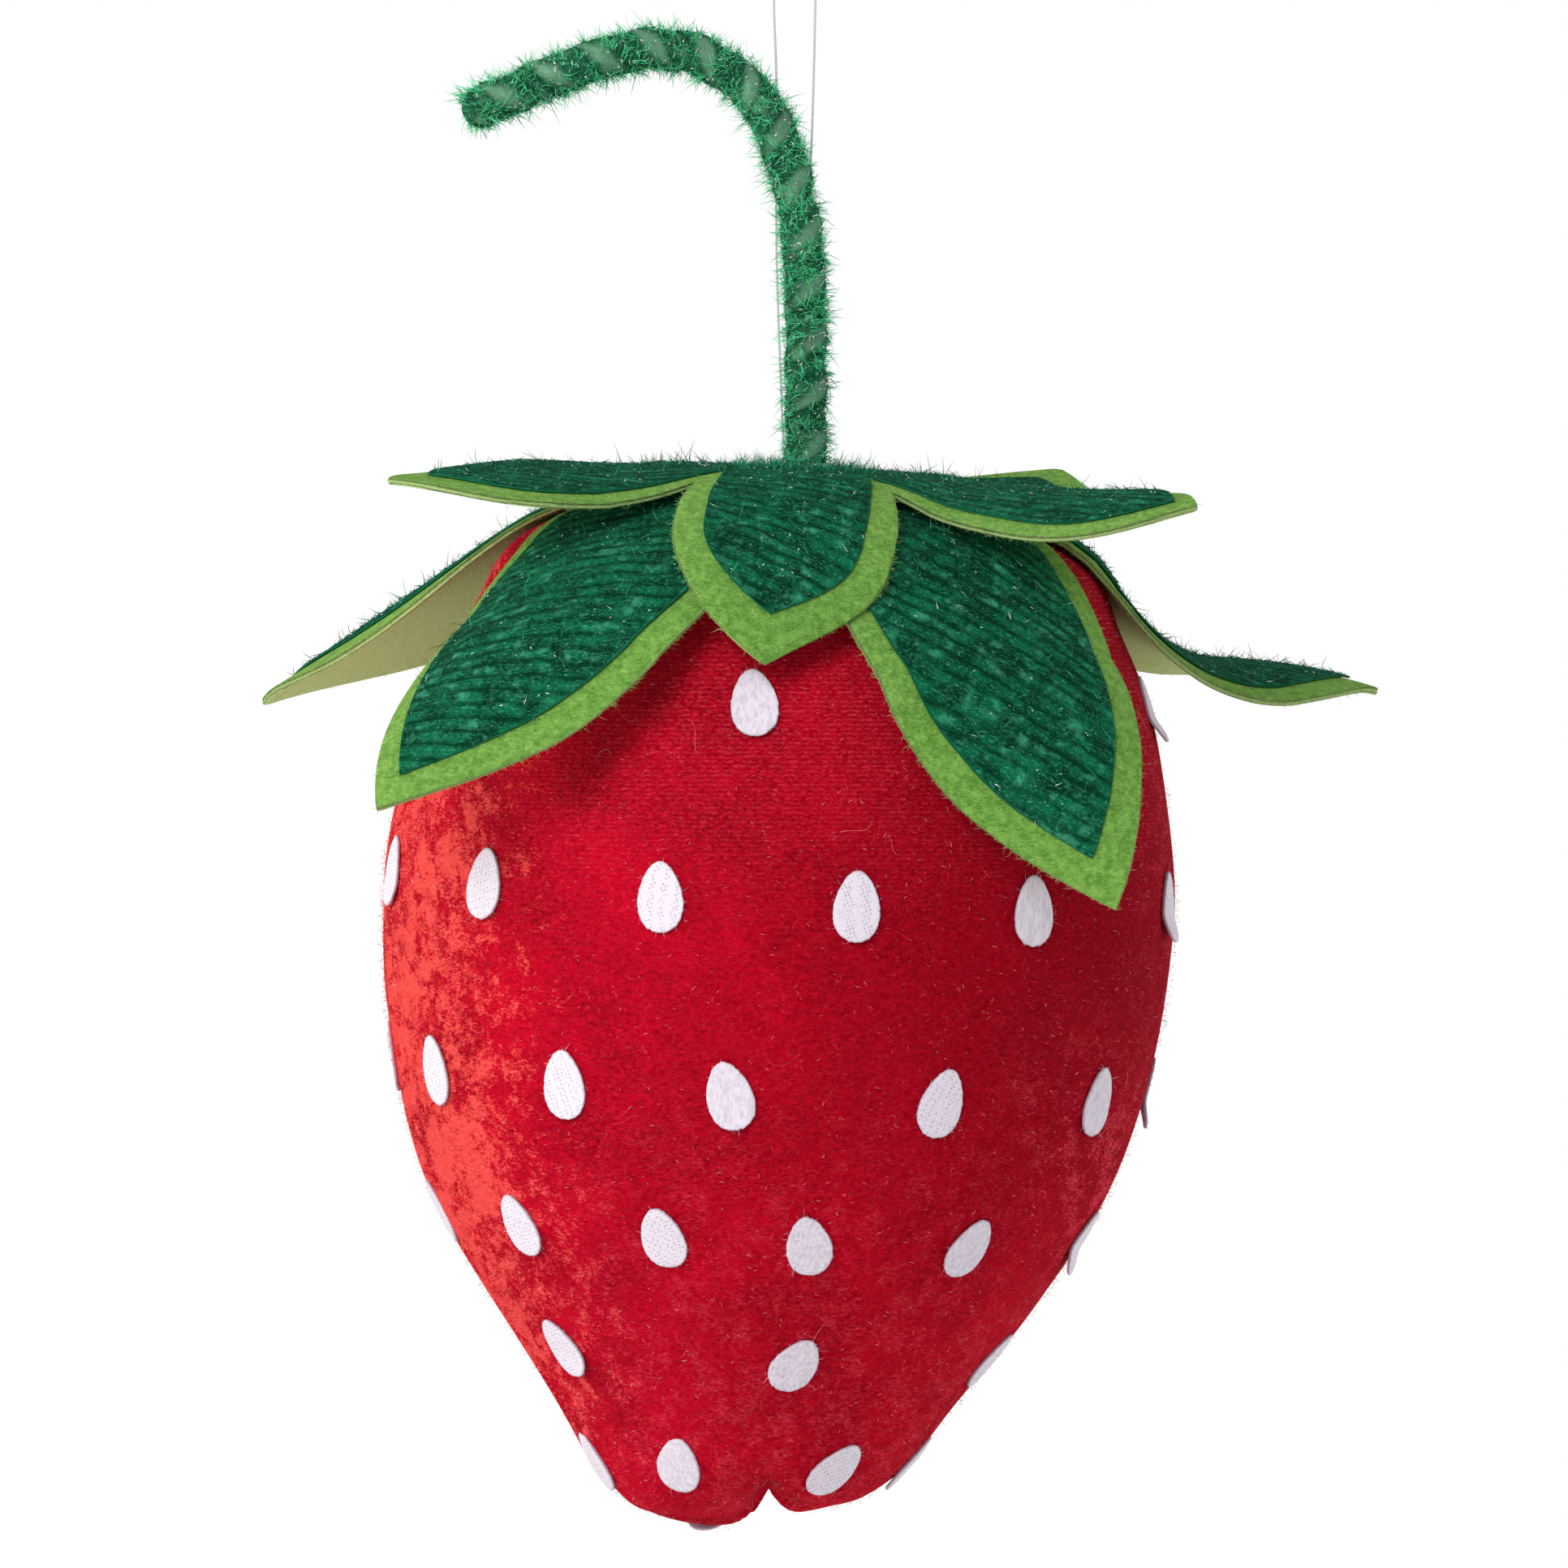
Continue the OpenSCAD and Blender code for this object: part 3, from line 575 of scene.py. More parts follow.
def add_node(tree, kind, settings=None, *values, **named):
    """Adds a node with its settings. The inputs that it uses take values in order, or by name
    with _ for a space: a number, a colour, a socket, or a node for its first result."""
    node = tree.nodes.new("ShaderNode" + kind)
    for name, value in (settings or {}).items():
        setattr(node, name, value)
    sockets = [s for s in node.inputs if s.enabled]
    by_name = {s.name.replace(" ", "_"): s for s in reversed(sockets)}
    for socket, value in [*zip(sockets, values), *((by_name[k], v) for k, v in named.items())]:
        if isinstance(value, bpy.types.Node):
            value = next(s for s in value.outputs if s.enabled)
        if isinstance(value, bpy.types.NodeSocket):
            tree.links.new(value, socket)
        else:
            socket.default_value = (*value, 1) if socket.type == "RGBA" else value
    return node


def new_finish(name):
    """An empty material, and what adds a node to it."""
    material = bpy.data.materials.new(name)
    material.use_nodes = True
    material.node_tree.nodes.clear()
    return material, functools.partial(add_node, material.node_tree)


def surfaced(material, **surface):
    """The material with its surface shader."""
    tree = material.node_tree
    shader = add_node(tree, "BsdfPrincipled", **surface)
    add_node(tree, "OutputMaterial", Surface=shader)
    return material


def grains(add, size_mm, stretch=(1, 1, 1), detail=2.0, rough=0.55, low=0.35, high=0.65,
        place=None):
    """Uneven grains of a size in the cloth's own place, drawn out along the axes, from 0 to 1
    between two of their levels."""
    if place is None:
        place = add("TexCoord").outputs["Object"]
    scaled = add("Mapping", Vector=place, Scale=[1 / (size_mm * MM * k) for k in stretch])
    spread = add("TexNoise", Vector=scaled, Scale=1.0, Detail=detail, Roughness=rough)
    return add("MapRange", None, spread, low, high)


def stretch_velvet(colours):
    """Stretch velvet: a polyester pile about 1 mm long on a knit ground, brushed by hand. It is
    deep red into the pile, and coral where the pile lies over, with the left lamp's sheen painted
    in there. A pale pink haze low on the right and along the foot and the edge is a painted rim
    sheen; shade is painted in round the right and in small hollows, and light towards the foot."""
    material, add = new_finish("stretch_velvet")
    place = add("TexCoord").outputs["Object"]
    x, _, z = add("SeparateXYZ", Vector=place).outputs
    clouds = grains(add, 17, (1, 1, 1), 3, 0.6, 0.36, 0.64)
    patches = grains(add, 4.5, (1, 2, 1.2), 5, 0.65, 0.4, 0.6)
    # Tufts 1 to 3 mm across lie this way and that
    tufts = grains(add, 1.7, (1.1, 2.6, 1.3), 5, 0.8, 0.4, 0.6)
    # Pile about 0.5 mm long lies over sideways in short dashes
    strokes = grains(add, 0.32, (2.6, 3, 1), 3, 0.75, 0.46, 0.62)
    grain = grains(add, 0.7, (1.5, 1.5, 1), 4, 0.8, 0.36, 0.64)
    # Painted shade in small hollows between the tufts
    painted_hollow_shade = grains(add, 1.0, (1.5, 2, 0.8), 4, 0.75, 0.5, 0.66)
    belly, foot = -0.165, -0.245
    low = add("MapRange", SMOOTH, z, belly, foot)
    # Painted shade: darker round the right of the berry, away from the lamps, and less so towards
    # the foot
    painted_shade_right = add("Math", MULTIPLY, add("MapRange", SMOOTH, x, -0.03, 0.045),
        add("Math", MULTIPLY_ADD, low, -0.8, 1.0))
    # Painted light: the red's clouds are lighter towards the foot, and the painted shade on the
    # right holds them and the bright grains back
    lighter = add("Math", ADD,
        add("Math", MULTIPLY, clouds, add("Math", MULTIPLY_ADD, painted_shade_right, -0.8, 0.95)),
        add("Math", MULTIPLY, low, 0.25))
    bright = add("Math", MULTIPLY, grain, add("Math", MULTIPLY_ADD, painted_shade_right, -0.3, 0.7))
    # The knit's rows show through the pile in the upper part, 0.75 mm apart
    rows = add("TexWave", {"bands_direction": "Z"}, Vector=place, Scale=BANDS / 0.75 / MM,
        Distortion=1.5, Detail=2.0, Detail_Scale=1.5)
    high = add("MapRange", SMOOTH, z, belly, -0.12)
    lined = add("Math", MULTIPLY, add("Math", MULTIPLY, rows, strokes),
        add("Math", MULTIPLY, high, 0.45))
    # The pile is brushed over along the left flank, in torn patches, and the left lamp's sheen on
    # it
    # is painted in as coral: only their crests at its edge, and all but the dips by the seam
    shifted = add("Math", {"operation": "MULTIPLY_ADD"}, low, -0.014, x)
    crests = add("MapRange", None, shifted, -0.033, -0.061)
    for layer, share in ((patches, 0.6), (tufts, 0.5), (strokes, 0.35)):
        crests = add("Math", {"operation": "MULTIPLY_ADD"}, layer, share, crests)
    brushed = add("Math", MULTIPLY, add("MapRange", SMOOTH, crests, 1.2, 1.85),
        add("Math", MULTIPLY_ADD, strokes, 0.3, 0.65))
    # Painted rim sheen: a pale pink haze low on the right, and a little along the foot and the edge
    right = add("Math", MULTIPLY, add("MapRange", SMOOTH, shifted, 0.022, 0.05),
        add("MapRange", SMOOTH, z, belly, -0.215))
    raised = add("Math", MAXIMUM, add("Math", MAXIMUM, right, add("Math", MULTIPLY, low, 0.3)),
        add("Math", MULTIPLY, add("MapRange", SMOOTH, x, 0.05, 0.066), 0.4))
    flecks = add("Math", MULTIPLY, add("Math", MULTIPLY_ADD, strokes, 0.55, 0.4),
        add("Math", MULTIPLY_ADD, patches, 0.55, add("Math", MULTIPLY, tufts, 0.55)))
    painted_rim_sheen = add("Math", ADD,
        add("Math", MULTIPLY, raised, add("MapRange", SMOOTH, flecks, 0.22, 0.72)),
        add("Math", MULTIPLY, strokes, 0.07))
    shade = colours.velvet_deep
    for share, tint in (
        (lighter, colours.velvet_red), (bright, colours.velvet_bright),
        (add("Math", MULTIPLY, painted_hollow_shade, 0.5), colours.velvet_deep),
        (lined, colours.velvet_pink), (brushed, colours.velvet_coral),
        (painted_rim_sheen, colours.velvet_pink),
    ):
        shade = add("Mix", MIX, share, shade, tint)
    lie = add("Bump", None, 0.3, Distance=0.0004, Height=tufts)
    nap = add("Bump", None, 0.5, Distance=0.0003, Height=grain, Normal=lie)
    return surfaced(material, Base_Color=shade, Normal=nap, Roughness=0.9, Sheen_Weight=0.05,
        Sheen_Roughness=0.4, Sheen_Tint=colours.velvet_sheen, Specular_IOR_Level=0.02)


def dyed_fibre(name, dark, pale, rough=0.7, sheen=0.0):
    """Loose polyester or acrylic fibres, each dyed its own shade from dark to pale."""
    material, add = new_finish(name)
    tone = add("Attribute", {"attribute_name": "tone"}).outputs["Fac"]
    shade = add("Mix", MIX, tone, dark, pale)
    return surfaced(material, Base_Color=shade, Roughness=rough, Sheen_Weight=sheen,
        Sheen_Tint=pale, Specular_IOR_Level=0.08)


def craft_felt(colours):
    """Needled craft felt, 1.2 mm: matted acrylic fibres with no weave, fuzzy where it was cut, and
    paler there with a painted highlight. Its underside is painted paler for the light from the
    floor, with painted olive shade towards the hub."""
    material, add = new_finish("craft_felt")
    mats = grains(add, 1.6, (1, 1, 1), 5, 0.75, 0.4, 0.6)
    fibres = grains(add, 0.4, (2, 1, 0.6), 3, 0.75, 0.38, 0.62)
    both = add("Math", ADD, add("Math", MULTIPLY, mats, 0.5), add("Math", MULTIPLY, fibres, 0.5))
    side, cut = (add("Attribute", {"attribute_name": name}).outputs["Fac"]
        for name in ("side", "cut"))
    # The underside's painted shade fades out from 38 to 80 mm along a leaf
    rows = add("Attribute", {"attribute_name": "rows"}).outputs["Vector"]
    unshaded = add("MapRange", None, add("VectorMath", {"operation": "LENGTH"}, rows), 38, 80)
    blotches = add("Math", MULTIPLY_ADD, both, 0.7, add("Math", MULTIPLY_ADD, unshaded, 0.7, 0.25))
    top = add("Mix", MIX, both, colours.felt_dark, colours.felt_green)
    under = add("Mix", MIX, blotches, colours.felt_hub_shade, colours.felt_lit_underside)
    shade = add("Mix", MIX, side, top, under)
    # Paler at the cut edge: partly its exposed fibres, partly a painted highlight
    shade = add("Mix", MIX, add("Math", MULTIPLY, cut, 0.4), shade, colours.felt_pale)
    matted = add("Bump", None, 0.8, Distance=0.0004, Height=both)
    return surfaced(material, Base_Color=shade, Normal=matted, Roughness=0.95, Sheen_Weight=0.2,
        Sheen_Roughness=0.5, Sheen_Tint=colours.felt_pale, Specular_IOR_Level=0.1)


def plush_ground(name, dark, mid, knit, rim, pitch=KNIT_PITCH, beads=0.5, rowed=0.65):
    """Warp knit ground of the tinsel plush: beaded stitches in rows 0.85 mm apart, dark ridges
    2.8 mm apart where the pile is sewn in, and worn pale where it has parted."""
    material, add = new_finish(name)
    rows = add("Attribute", {"attribute_name": "rows"}).outputs["Vector"]
    wobble = add("TexNoise", Vector=rows, Scale=0.35, Detail=2.0)
    rows = add("VectorMath", {"operation": "MULTIPLY_ADD"}, wobble.outputs[1], (1.1, 0.6, 0),
        rows)
    line = add("TexWave", {"bands_direction": "X"}, Vector=rows, Scale=BANDS / pitch,
        Distortion=0.4, Detail=1.0)
    bead = add("TexWave", {"bands_direction": "Y"}, Vector=rows, Scale=BANDS / beads,
        Distortion=2.0, Detail=1.0)
    ridges = add("TexWave", {"bands_direction": "X"}, Vector=rows, Scale=BANDS / PILE_PITCH,
        Distortion=3.5, Detail=4.0, Detail_Scale=0.9)
    # Short crossed strokes of pile, brightest along the rows
    placed = add("VectorMath", {"operation": "SCALE"}, rows, MM)
    strokes = grains(add, 0.4, (0.8, 2.2, 1), 4, 0.85, 0.49, 0.63, placed)
    stitched = add("Math", MULTIPLY,
        add("Math", MULTIPLY_ADD, add("Math", POWER, line, 2.0), rowed, 1 - rowed),
        add("Math", MULTIPLY, strokes, add("Math", MULTIPLY_ADD, bead, 0.4, 0.6)))
    matted = grains(add, 6, (1, 1, 1), 3, 0.6, 0.25, 0.55)
    sewn = add("Math", MULTIPLY, add("Math", POWER, ridges, 2.0), matted)
    clouds = grains(add, 4.5, (1, 1, 1), 3, 0.6, 0.4, 0.62)
    worn = grains(add, 3.4, (1, 1, 1), 3, 0.6, 0.54, 0.72)
    cut = add("Attribute", {"attribute_name": "cut"}).outputs["Fac"]
    shade = dark
    for share, tint in (
        (clouds, mid), (add("Math", MULTIPLY, worn, 0.45), knit),
        (add("Math", MULTIPLY, sewn, 0.95), dark),
        (add("Math", MULTIPLY, stitched, add("Math", MULTIPLY_ADD, sewn, -0.8, 1.0)), knit),
        (cut, rim),
    ):
        shade = add("Mix", MIX, share, shade, tint)
    knots = add("Bump", None, 0.6, Distance=0.0003, Height=stitched)
    return surfaced(material, Base_Color=shade, Normal=knots, Roughness=0.75, Sheen_Weight=0.02,
        Sheen_Roughness=0.4, Sheen_Tint=knit, Specular_IOR_Level=0.03)


def tinsel_film():
    """Slit polyester film: thin bright ribbons that glint white and mint, their sparkle painted in
    as a white base colour in place of the film's mirror glint.
    """
    return surfaced(new_finish("tinsel_film")[0], Base_Color=linear("#F6FFFB"), Roughness=0.22,
        Specular_IOR_Level=0.8)


def patch_cloth(name, colours, knit):
    """White tricot patches: a fine knit on some, drawn at 0.6 mm rather than 0.4 mm so that its
    stitches show, and brushed pile on others."""
    material, add = new_finish(name)
    if knit:
        place = add("TexCoord").outputs["Object"]
        tilted = add("Mapping", Vector=place, Rotation=(0, 0.35, 0))
        dots = add("TexVoronoi", Vector=tilted, Scale=1 / (0.6 * MM), Randomness=0.35)
        pattern = add("Math", MAXIMUM, add("MapRange", None, dots, 0.16, 0.42),
            grains(add, 4, (1, 1, 1), 2, 0.5, 0.55, 0.85))
    else:
        pattern = add("Math", MULTIPLY_ADD,
            grains(add, 0.7, (0.8, 0.8, 3.2), 3, 0.7, 0.36, 0.56), 0.65, 0.35)
    shade = add("Mix", MIX, pattern, colours.seed_shade, colours.seed_white)
    # Painted shade: the cut edge and the underside are darker
    cut = add("Attribute", {"attribute_name": "cut"}).outputs["Fac"]
    shade = add("Mix", MIX, cut, shade, colours.seed_rim)
    stitches = add("Bump", None, 0.4, Distance=0.0002, Height=pattern)
    return surfaced(material, Base_Color=shade, Normal=stitches, Roughness=0.9,
        Sheen_Weight=0.1, Sheen_Roughness=0.5, Specular_IOR_Level=0.15)


def clear_nylon():
    """Drawn nylon monofilament: clear and smooth, with grey edges and bright lines along it."""
    return surfaced(new_finish("clear_nylon")[0], Base_Color=linear("#DADCDF"), Roughness=0.12,
        IOR=1.53, Transmission_Weight=0.45)


def plain_core(name, code, **surface):
    """A hidden piece's finish, with the slight mottle of its stuff."""
    material, add = new_finish(name)
    pale = [min(1, 1.15 * part) for part in linear(code)]
    shade = add("Mix", MIX, grains(add, 2.5), linear(code), pale)
    return surfaced(material, Base_Color=shade, **surface)


def dress(node, material):
    """Gives a CAD node a finish."""
    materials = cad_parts[node].data.materials
    materials.clear()
    materials.append(material)


# ---- Settings ----


def colour(name, code, description):
    """A colour that a user can change."""
    return bpy.props.FloatVectorProperty(name=name, description=description, subtype="COLOR",
        size=3, min=0, max=1, default=linear(code))


class VelvetSettings(bpy.types.PropertyGroup):
    velvet_deep: colour("Deep red", "#7C0010", "Colour down in the pile")
    velvet_red: colour("Red", "#B8001E", "Colour of the pile's tips")
    velvet_bright: colour("Grain", "#D80C2C", "Colour of the pile's brightest grains")
    # The pink is also the colour of the painted rim sheen
    velvet_pink: colour("Pink", "#F24A60", "Colour of the knit's rows and of the haze")
    # The coral is also the left lamp's sheen, painted where the pile is brushed over
    velvet_coral: colour("Coral", "#FF5C54", "Colour where the pile is brushed over")
    velvet_sheen: colour("Sheen", "#FF5560", "Tint of the pile at a low angle")
    nap_count: bpy.props.IntProperty(name="Nap", default=30000, min=0, max=47000,
        description="Tufts of pile modelled on each panel")
    stray_count: bpy.props.IntProperty(name="Strays", default=80, min=0, max=1000,
        description="Long loose fibres caught on the velvet")
    lint_count: bpy.props.IntProperty(name="Lint", default=8500, min=0, max=20000,
        description="Short loose fibres caught on the velvet")


class SeedSettings(bpy.types.PropertyGroup):
    seed_white: colour("White", "#E8E0EC", "Colour of the patches")
    seed_shade: colour("Shade", "#C2B7C8", "Colour between the stitches")
    # Painted shade round the patch's edge
    seed_rim: colour("Rim", "#B7A3B4", "Colour of the cut edge")
    fuzz_length: bpy.props.FloatProperty(name="Fuzz", default=0.0005, min=0, max=0.003,
        unit="LENGTH", description="Length of the frayed fibres round a patch")


class CalyxSettings(bpy.types.PropertyGroup):
    felt_green: colour("Felt", "#9ACF62", "Colour of the felt")
    felt_dark: colour("Felt shade", "#4F8A2C", "Colour between the felt's fibres")
    # Painted light: the underside is paler than the top, for the light from the floor
    felt_lit_underside: colour("Felt underside", "#D2EEA0", "Colour of the felt's underside")
    # Painted shade on the underside, towards the hub
    felt_hub_shade: colour("Felt stain", "#7D7350", "Colour where glue soaked the felt")
    # The cut edge's colour is partly a painted highlight
    felt_pale: colour("Felt cut", "#C3DB92", "Colour of the felt's cut edge")
    plush_dark: colour("Plush shade", "#00301C", "Darkest colour of the plush's ground")
    plush_mid: colour("Plush", "#046440", "Colour of the plush's ground")
    plush_knit: colour("Plush knit", "#58CCA0", "Colour of the plush's stitches")
    plush_rim: colour("Plush rim", "#1E7A58", "Colour of the plush's cut edge")
    pile_dark: colour("Pile", "#003F26", "Darkest pile")
    pile_pale: colour("Pale pile", "#46C89A", "Palest pile")
    pile_length: bpy.props.FloatProperty(name="Pile", default=0.0017, min=0, max=0.004,
        unit="LENGTH", description="Length of the plush's pile")
    pile_count: bpy.props.IntProperty(name="Pile fibres", default=15000, min=0, max=48000,
        description="Fibres on the lower star; the upper star has as many for its area")


class StemSettings(bpy.types.PropertyGroup):
    stem_dark: colour("Stem shade", "#07402A", "Darkest colour of the sleeve's ground")
    stem_mid: colour("Stem", "#12603F", "Colour of the sleeve's ground")
    stem_knit: colour("Stem knit", "#93C8A4", "Colour where the pile has parted")
    stem_pile: colour("Stem pile", "#046A40", "Darkest pile")
    stem_glow: colour("Stem pale pile", "#70FAB4", "Palest pile")
    pile_length: bpy.props.FloatProperty(name="Pile", default=0.002, min=0, max=0.004,
        unit="LENGTH", description="Length of the sleeve's pile")


class StageSettings(bpy.types.PropertyGroup):
    floor: colour("Floor", "#EEEEEC", "Colour of the studio's floor")
    key_power: bpy.props.FloatProperty(name="Key light", default=9, min=0, unit="POWER",
        description="Power of the key light")
    side_power: bpy.props.FloatProperty(name="Side light", default=3.4, min=0, unit="POWER",
        description="Power of the light that rakes the left flank")


# ---- Pieces ----


class ORNAMENT_OT_studio(bpy.types.Operator):
    """Sets the camera, the lamps, the floor and the world"""

    bl_idname = "ornament.studio"
    bl_label = "Studio"

    def execute(self, context):
        scene, stage = context.scene, context.scene.ornament_stage
        scene.view_settings.view_transform = "Standard"
        lens = bpy.data.cameras.new("studio_camera")
        lens.sensor_width, lens.lens = SENSOR, SENSOR * CAMERA_AWAY / VIEW_WIDTH
        lens.clip_end = 20
        camera = bpy.data.objects.new("studio_camera", lens)
        camera.location = Vector((VIEW_MIDDLE[0], -CAMERA_AWAY * math.cos(CAMERA_TILT),
            VIEW_MIDDLE[1] + CAMERA_AWAY * math.sin(CAMERA_TILT))) * MM
        camera.rotation_euler = (math.radians(90) - CAMERA_TILT, 0, 0)
        scene.collection.objects.link(camera)
        scene.camera = camera
        for name, place, power, size, tint in (
            ("key_lamp", (-0.42, -1.0, 0.42), stage.key_power, 0.55, "#FFFFFF"),
            ("side_lamp", (-0.85, -0.12, -0.02), stage.side_power, 0.5, "#FFF4EE"),
            ("rim_lamp", (0.75, 0.35, -0.25), 2, 0.5, "#FFFFFF"),
        ):
            light = bpy.data.lights.new(name, "AREA")
            light.energy, light.size, light.color = power, size, linear(tint)
            lamp = bpy.data.objects.new(name, light)
            lamp.location = place
            aim = LAMP_AIM - Vector(place)
            lamp.rotation_euler = aim.to_track_quat("-Z", "Y").to_euler()
            scene.collection.objects.link(lamp)
        world = bpy.data.worlds.new("studio_world")
        world.use_nodes = True
        tree = world.node_tree
        tree.nodes.clear()
        soft, white = (add_node(tree, "Background", None, (1, 1, 1), strength)
            for strength in (SOFT_LIGHT, 1))
        ray = add_node(tree, "LightPath").outputs
        seen = add_node(tree, "Math", {"operation": "MAXIMUM"}, ray["Is Camera Ray"],
            ray["Is Transmission Ray"])
        both = add_node(tree, "MixShader", None, seen, soft, white)
        add_node(tree, "OutputWorld", Surface=both)
        scene.world = world
        # Matt painted board under the ornament
        paint = surfaced(new_finish("painted_board")[0], Base_Color=stage.floor, Roughness=0.9)
        bpy.ops.mesh.primitive_circle_add(vertices=96, radius=FLOOR_R, fill_type="NGON",
            location=(0, 0, FLOOR_Z))
        board = context.object
        board.name = "studio_floor"
        board.data.materials.append(paint)
        return {"FINISHED"}


class ORNAMENT_OT_thread_loop(bpy.types.Operator):
    """Hangs the loop of clear thread and ties its knot"""

    bl_idname = "ornament.thread_loop"
    bl_label = "Thread Loop"

    def execute(self, context):
        nylon = clear_nylon()
        foot = KNOT[2] + STRAND_FOOT
        turn = np.radians(np.arange(157.5, 22, -22.5))
        bight = (LOOP_R + THREAD_D / 2) * np.stack([np.cos(turn), np.sin(turn)], axis=-1)
        route = np.vstack([[(KNOT[0] - STRAND_X, foot)], LOOP_LEFT, bight - [0, LOOP_R],
            LOOP_RIGHT, [(KNOT[0] + STRAND_X, foot)]])
        line = open_spline(route, 5)
        line = np.stack([line[:, 0], 0 * line[:, 0], line[:, 1]], axis=-1) * MM
        curve = bpy.data.curves.new("thread_loop", "CURVE")
        curve.dimensions, curve.bevel_depth, curve.bevel_resolution = "3D", THREAD_D / 2 * MM, 4
        stretch = curve.splines.new("POLY")
        stretch.points.add(len(line) - 1)
        stretch.points.foreach_set("co", np.hstack([line, np.ones((len(line), 1))]).ravel())
        curve.materials.append(nylon)
        loop = bpy.data.objects.new("thread_loop", curve)
        context.scene.collection.objects.link(loop)
        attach(loop, "hanger")
        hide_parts("hanging_loop")
        # An overhand knot: a trefoil of the doubled thread
        steps, sides = 96, 10
        t = np.linspace(0, 2 * math.pi, steps + 1)[:-1]
        trefoil = np.stack([np.sin(t) + 2 * np.sin(2 * t), np.cos(t) - 2 * np.cos(2 * t),
            -1.4 * np.sin(3 * t)], axis=-1)
        centre = KNOT + trefoil * (KNOT_R - KNOT_STRAND_R) / 3
        way = unit(np.roll(centre, -1, 0) - np.roll(centre, 1, 0))
        side = unit(np.cross(way, unit(centre - KNOT)))
        turn = np.radians(np.arange(0, 360, 360 / sides))[None, :, None]
        ring = centre[:, None] + KNOT_STRAND_R * (np.cos(turn) * side[:, None]
            + np.sin(turn) * np.cross(way, side)[:, None])
        faces = grid_faces(steps + 1, sides, loop=True) % (steps * sides)
        tied = make_piece("tied_knot", ring.reshape(-1, 3), [faces], nylon, "knot")
        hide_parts("hanger_knot")
        return {"FINISHED"}


def velvet_panel(name, first, velvet):
    """One half of the velvet as a closed sheet, round from the seam at a heading."""
    edge = np.array([0, 0.12, 0.3, 0.6, 1, 1.6])
    turn = np.concatenate([edge, np.arange(2.5, 178), 180 - edge[::-1]])
    run, heading = np.meshgrid(OUTLINE_RUN[:-1], first + turn, indexing="ij")
    run = np.maximum(run, CROWN_GAP)
    outer, out = berry_at(run, heading), berry_axes(run, heading)[2]
    # The panels roll in at the seam and swell a little beside it
    off = np.radians(np.minimum(turn, 180 - turn)) * radius_at(run)
    seam = hump(off, *SEAM_DIP) + hump(off, *SEAM_SWELL)
    height, pitch = VELVET_WAVE
    wave = np.array([noise.noise(Vector(p) * pitch) for p in outer.reshape(-1, 3)])
    outer = outer + out * (seam + height * wave.reshape(seam.shape))[..., None]
    inner = outer - out * VELVET_T
    pole = berry_at(np.array([OUTLINE_RUN[-1]]), np.array([0]))
    points = np.vstack([outer.reshape(-1, 3), pole, inner.reshape(-1, 3),
        pole + [[0, 0, VELVET_T]]])
    rows, cols = run.shape
    size = rows * cols + 1
    sheet = grid_faces(rows, cols)
    foot = np.arange((rows - 1) * cols, rows * cols - 1)
    tip = np.stack([foot, foot + 1, np.full_like(foot, size - 1)], axis=-1)
    brink = np.concatenate([np.arange(cols)[::-1], np.arange(1, rows) * cols,
        [size - 1], (np.arange(rows)[::-1] + 1) * cols - 1])
    ahead = np.roll(brink, -1)
    wall = np.stack([brink, ahead, ahead + size, brink + size], axis=-1)
    faces = [sheet[:, ::-1], tip[:, ::-1], sheet + size, tip + size, wall[brink != ahead]]
    return make_piece(name, hung(points), faces, velvet, "berry")


def brushed_pile(name, first, count, nap):
    """Tufts of pile that catch the light, thick where a hand brushed them up and thin elsewhere.
    Real pile is finer and a hundred times denser."""
    rng = np.random.default_rng(SEAM_ANGLE + first)
    run, heading = berry_spots(3 * count, rng, first, 180)
    root = berry_at(run, heading)
    torn = np.array([noise.noise(Vector(p) * 0.21) for p in root])
    flank = smooth((-root[:, 0] - 38 + 9 * torn) / 20)
    haze = smooth((root[:, 0] - 38) / 18) * smooth((-root[:, 2] - 85) / 45)
    dense = 0.05 + 0.6 * flank * smooth(torn * 2 + 0.55) + 0.45 * haze
    kept = rng.random(len(run)) < dense
    run, heading, flank, haze = (a[kept][:count] for a in (run, heading, flank, haze))
    root, n = berry_at(run, heading), len(run)
    down, across, out = berry_axes(run, heading)
    lie = rng.normal(0, 0.35, n)
    way = unit(rng.choice([-1, 1], n)[:, None] * (np.cos(lie)[:, None] * across
        + np.sin(lie)[:, None] * down) + rng.uniform(0.1, 0.45, n)[:, None] * out)
    # Painted sheen: the tufts are paler on the left flank and low on the right
    tone = np.clip(rng.random(n) ** 1.6 * 0.6 + 0.35 * flank + 0.15 * haze, 0, 1)
    return lay_fibres(name, rng, root, way, rng.uniform(0.35, 1.0, n), 0.2, 2, (0.03, 0.055), nap,
        tone)


